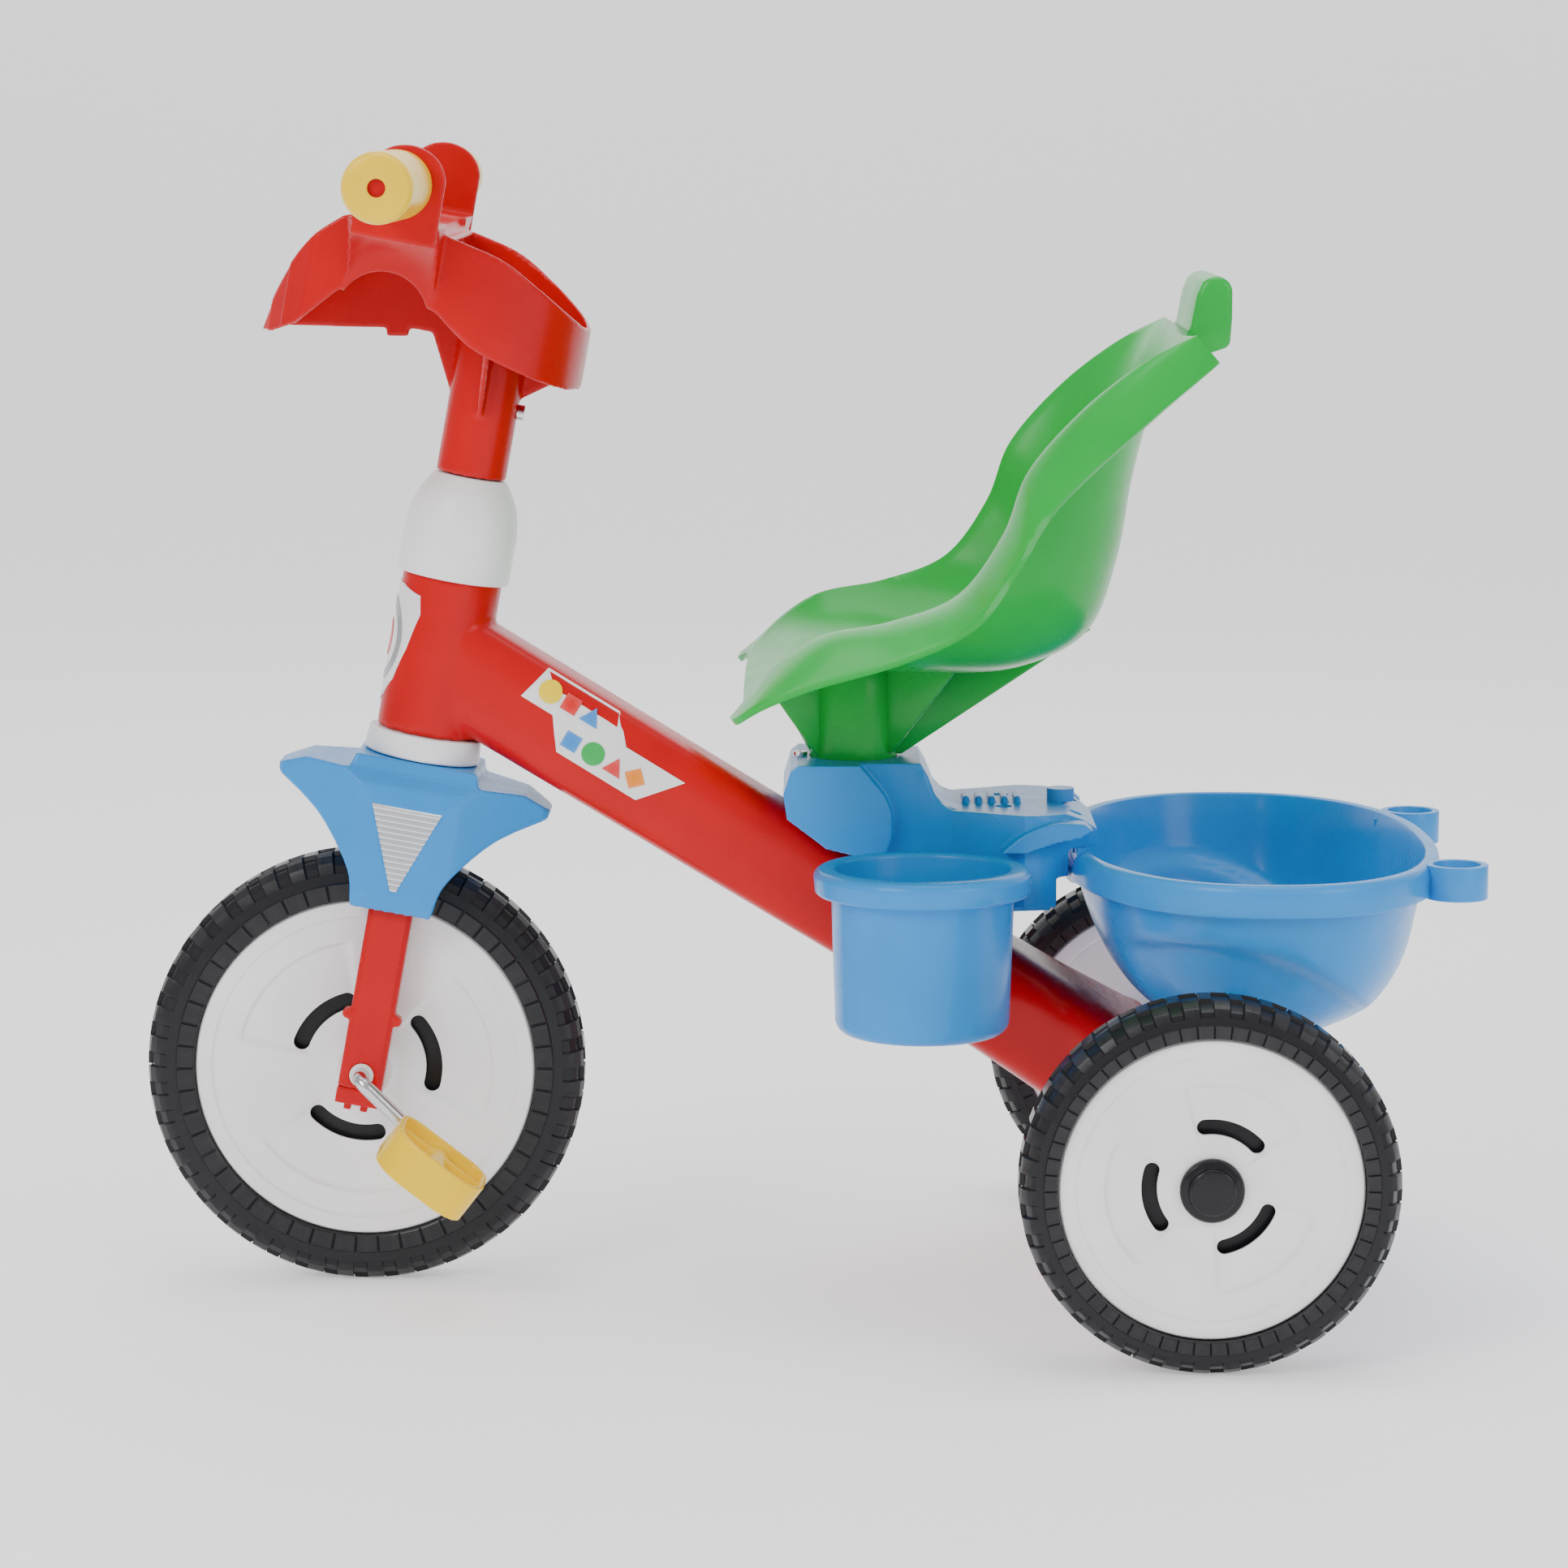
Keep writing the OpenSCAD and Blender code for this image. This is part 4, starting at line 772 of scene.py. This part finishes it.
def make_wheels():
    centre = joint("front_wheel_spin")["pos_m"]
    make_tyre("front_tyre_tread", "front_wheel", "front_tyre", wheel_place(centre, -1), **FRONT_TYRE)
    for side, word in SIDES:
        make_rim(f"front_disc_{word}", f"front_rim_{word}", "front_wheel", wheel_place(centre, side),
                 **FRONT_DISC)
    cap = [(11.5, 15.5), (16.5, 15.5), (16.5, 18.5), (15.5, 20), (12.4, 20.3), (12, 22.9), (11, 23.7),
           (0, 23.7), (0, 21.5), (10, 21.5), (10, 18.1), (11.5, 18.1)]
    for side, word in SIDES:
        centre = joint(f"rear_wheel_{word}_spin")["pos_m"]
        body = f"rear_wheel_{word}"
        out, back = wheel_place(centre, side), wheel_place(centre, -side)
        make_tyre(f"rear_tyre_{word}_tread", body, f"rear_tyre_{word}", out, **REAR_TYRE)
        for half, place, hub_end in (("outer", out, REAR_HUB_OUT), ("inner", back, REAR_HUB_IN)):
            make_rim(f"rear_disc_{word}_{half}", f"rear_rim_{half}_{word}", body, place, hub_end, **REAR_DISC)
        hub_cap = piece(f"hub_cap_{word}_moulding", lathe(cap, 72), "black_plastic", body, out,
                        [f"hub_cap_{word}"])
        rounded(hub_cap, 0.4, 2)


# ---- Steering ----


def make_reflectors():
    """Ribbed triangles, point down, in the flanks of the guard."""
    top, tip, ribs, steps = 150, 104, 15, 6
    narrow, broad, face, rib_height = 1.5, 19, 45.3, 1.1
    for side, word in SIDES:
        rings = []
        for i in range(ribs * steps + 1):
            s = tip + (top - tip) * i / (ribs * steps)
            wide = narrow + (broad - narrow) * (s - tip) / (top - tip)
            out = face + rib_height * abs(math.sin(math.pi * i / steps))
            rings.append([Vector((x, side * y, s)) for x, y in
                          ((-wide, 45), (wide, 45), (wide, out), (-wide, out))])
        piece(f"reflector_{word}_ribs", loft(rings), "reflector", "steering", STEERING,
              [f"reflector_{word}"], 28)


GRIP_AXIS = (-55, 479)
GRIP_RADIUS, GRIP_BORE, GRIP_HOLE = 17.8, 13.1, 4.5


def make_grips():
    r = GRIP_RADIUS
    section = [(GRIP_BORE, 126.2), (16.6, 126.2), (17.6, 127.2), (r, 129)]
    section += [(r - 0.25 * abs(math.sin(math.pi * i / 6)), 132 + 104 * i / 48) for i in range(49)]
    section += [(r, 239), (17.3, 242), (15.8, 244.2), (13.5, 245), (4.9, 245), (GRIP_HOLE, 244.6),
                (GRIP_HOLE, 242.2), (GRIP_BORE, 242.2)]
    axis = Matrix.Translation((GRIP_AXIS[0], 0, GRIP_AXIS[1]))
    for side, word in SIDES:
        place = STEERING @ axis @ Matrix.Rotation(math.radians(-90 * side), 4, "X")
        piece(f"grip_{word}_sleeve", lathe(section), "yellow_plastic", "steering", place,
              [f"grip_{word}"], 30)


HOOD_FRONT = [(-121, 388), (-116, 408), (-108, 428), (-98, 444), (-84, 457)]
HOOD_CROWN = [(-70, 461), (-36, 460)]
BAND_TOP = [(-30, 456), (0, 449), (22, 437), (40, 425), (50, 417)]
BAND_BOTTOM = [(44, 386), (20, 391.5), (-8, 401), (-28, 415), (-34, 417)]
ARCH_MIDDLE, ARCH_RADIUS = (-56, 408), 24  # the arch under each grip
ARM_FRONT, ARM_REAR = -78, -31
BAR_LOW, BAR_HIGH = 300, 520  # heights that clear the whole handlebar
BAR_SPLIT = -26  # between the hood and the rear band
HOOD_FOLDS = [(-121, 28), (-115, 38), (-117, 44), (-107, 58), (-109, 63), (-98, 74)]
BAR_HALF = 75
BAND_MIDDLE = -30  # where the band's rounded rear starts
BAND_REAR = 50
GUARD_Y = 124
BAR_WALL = 3


def smooth_line(points, steps=24):
    return [on_curve(points, i / steps) for i in range(steps + 1)]


def bar_side():
    """Side outline of the hood and band."""
    arch = arc(ARCH_MIDDLE, ARCH_RADIUS, range(25, 156, 5))
    return ([(-114, 389)] + smooth_line(HOOD_FRONT) + HOOD_CROWN + smooth_line(BAND_TOP) + [(50, 386)]
            + smooth_line(BAND_BOTTOM) + arch + [(-80, 419), (-100, 397)])


def bar_hollow():
    """Side outline of the space under the hood."""
    front = [(x + 0.9 * BAR_WALL, s - 1) for x, s in HOOD_FRONT]
    top = [(x, s - BAR_WALL) for x, s in HOOD_CROWN + BAND_TOP]
    return [(-117, 370)] + smooth_line(front) + top[:2] + smooth_line(top[2:]) + [(60, 409), (60, 370)]


def bar_plan(inset):
    """Plan outline: folds down the front, flat sides, and a square-shouldered rear."""
    wide, long = BAR_HALF - inset, BAND_REAR - BAND_MIDDLE - inset
    half = [(x + inset, y - inset) for x, y in HOOD_FOLDS] + [(-94, wide), (BAND_MIDDLE, wide)]
    for i in range(1, 25):
        c, s = power_curve(90 - 90 * i / 24, 0.76)
        half.append((BAND_MIDDLE + long * c, wide * s))
    return half[:-1] + [(BAND_REAR - inset, 0)] + [(x, -y) for x, y in reversed(half[:-1])]


def prism(name, outline, axis, low, high):
    """A loose solid from an outline, across the tricycle (axis "y") or up it (axis "z")."""
    def at(p, q, h):
        return Vector((p, h, q)) if axis == "y" else Vector((p, q, h))
    return loose(name, loft([[at(p, q, h) for p, q in outline] for h in (low, high)]))


def bar_block(inset):
    """An upright block with the handlebar's plan, inset by the given width."""
    return prism("bar_block", bar_plan(inset), "z", BAR_LOW, BAR_HIGH)


def bar_shell():
    """Hood and rear band: an outer skin less the hollow under the hood and the well in the band."""
    shell = combined(prism("bar_shell", bar_side(), "y", -150, 150), bar_block(0), "INTERSECT")
    hollow = combined(prism("hollow", bar_hollow(), "y", -150, 150), bar_block(BAR_WALL), "INTERSECT")
    front = [(-200, -200), (BAR_SPLIT, -200), (BAR_SPLIT, 200), (-200, 200)]
    combined(hollow, prism("front_half", front, "z", BAR_LOW, BAR_HIGH), "INTERSECT")
    combined(shell, hollow, "DIFFERENCE")
    rear = [(BAR_SPLIT, BAR_LOW), (100, BAR_LOW), (100, BAR_HIGH), (BAR_SPLIT, BAR_HIGH)]
    well = combined(prism("well", rear, "y", -150, 150), bar_block(BAR_WALL), "INTERSECT")
    return combined(shell, well, "DIFFERENCE")


def arm_foot(x):
    """Height of the arm's lower edge at x, which follows the arch."""
    middle, s = ARCH_MIDDLE
    least = 9  # height over the arch's middle at which the edge levels out
    return s + math.sqrt(max(ARCH_RADIUS ** 2 - (x - middle) ** 2, least ** 2))


def add_arm(bm, side):
    """The arm under one grip: its outer panel curves out from the band to the hand guard."""
    rings = []
    for i in range(41):
        x = ARM_FRONT + (ARM_REAR - ARM_FRONT) * i / 40
        foot, top = arm_foot(x), along([(-78, 458), (-70, 462)], x)
        ring = [Vector((x, side * 71, top)), Vector((x, side * 71, foot))]
        for k in range(17):
            rise = k / 16
            out = BAR_HALF + (GUARD_Y - BAR_HALF) * rise ** 2.2
            ring.append(Vector((x, side * out, foot + (top - foot) * rise)))
        rings.append(ring)
    add_loft(bm, rings)


def add_guard_plate(bm, side):
    x, s = GRIP_AXIS
    top = arc((x + 4, s + 3), 20, range(190, -1, -8), 18)
    outline = [(-75, 450), (-75, 466)] + top + [(ARM_REAR, 466), (ARM_REAR, 450)]
    add_plate(bm, outline, 4, Matrix.Translation((0, side * GUARD_Y, 0)))


def make_handlebar():
    bm = bmesh.new()
    floor = [(-30, 441), (0, 433), (24, 420), (52, 405), (52, 401), (24, 416), (0, 429), (-30, 437)]
    under = [(-50, 340), (-50, 440), (-30, 439), (0, 431), (24, 418), (50, 403), (50, 340)]
    wing = [(-72, 436), (-60, 405), (-19, 362), (19, 362), (60, 405), (72, 436)]
    wing = loft([[Vector((x, y, s)) for y, s in wing] for x in (-BAR_WALL / 2, BAR_WALL / 2)])
    inside = (prism("well_floor", floor, "y", -150, 150),
              combined(loose("wing", wing), prism("under", under, "y", -80, 80), "INTERSECT"))
    for part in [combined(part, bar_block(1), "INTERSECT") for part in inside] + [bar_shell()]:
        bm.from_mesh(part.data)
        bpy.data.objects.remove(part)
    web = [(-116, 390), (-112, 413), (-96, 441), (-80, 456), (-30, 456), (-10, 428), (-10, 401), (-46, 401),
           (-46, 396.5), (-57.5, 394.5), (-58, 399), (-108, 391)]
    add_plate(bm, web, BAR_WALL)
    for side, _ in SIDES:
        add_arm(bm, side)
        add_guard_plate(bm, side)
        add_rod(bm, *GRIP_AXIS, 13, side * (GUARD_Y - 1), side * 241.5)
    add_lathe(bm, [(11.1, 329.4), (19, 329.4), (19, 424), (11.1, 424)], 96)
    for gusset in ([(0, 356), (-19, 372), (-34, 402), (-40, 440), (0, 440)],
                   [(0, 374), (19, 374), (44, 392), (44, 404), (0, 428)]):
        add_plate(bm, gusset, BAR_WALL)
    melted(piece("handlebar_moulding", bm, "red_plastic", "steering", STEERING, ["handlebar"]), 1.1, 2, 0.6)


def make_mouldings():
    remoulded("seat_base", "blue_plastic", "frame", 1.0, 2)
    remoulded("fork_guard", "blue_plastic", "steering", 1.0, 6)
    remoulded("fork", "red_plastic", "steering", 0.9, 3)
    for word in ("left", "right"):
        remoulded(f"axle_clip_{word}", "red_plastic", "steering", 0.7, 2)
        remoulded(f"pedal_{word}", "yellow_plastic", f"pedal_{word}", 0.8, 3)


make_camera()
make_lights()
make_floor()
dress_cad_nodes()
make_frame()
make_labels()
make_badge()
make_head()
make_cup()
make_basket()
make_seat()
make_wheels()
make_reflectors()
make_grips()
make_handlebar()
make_mouldings()
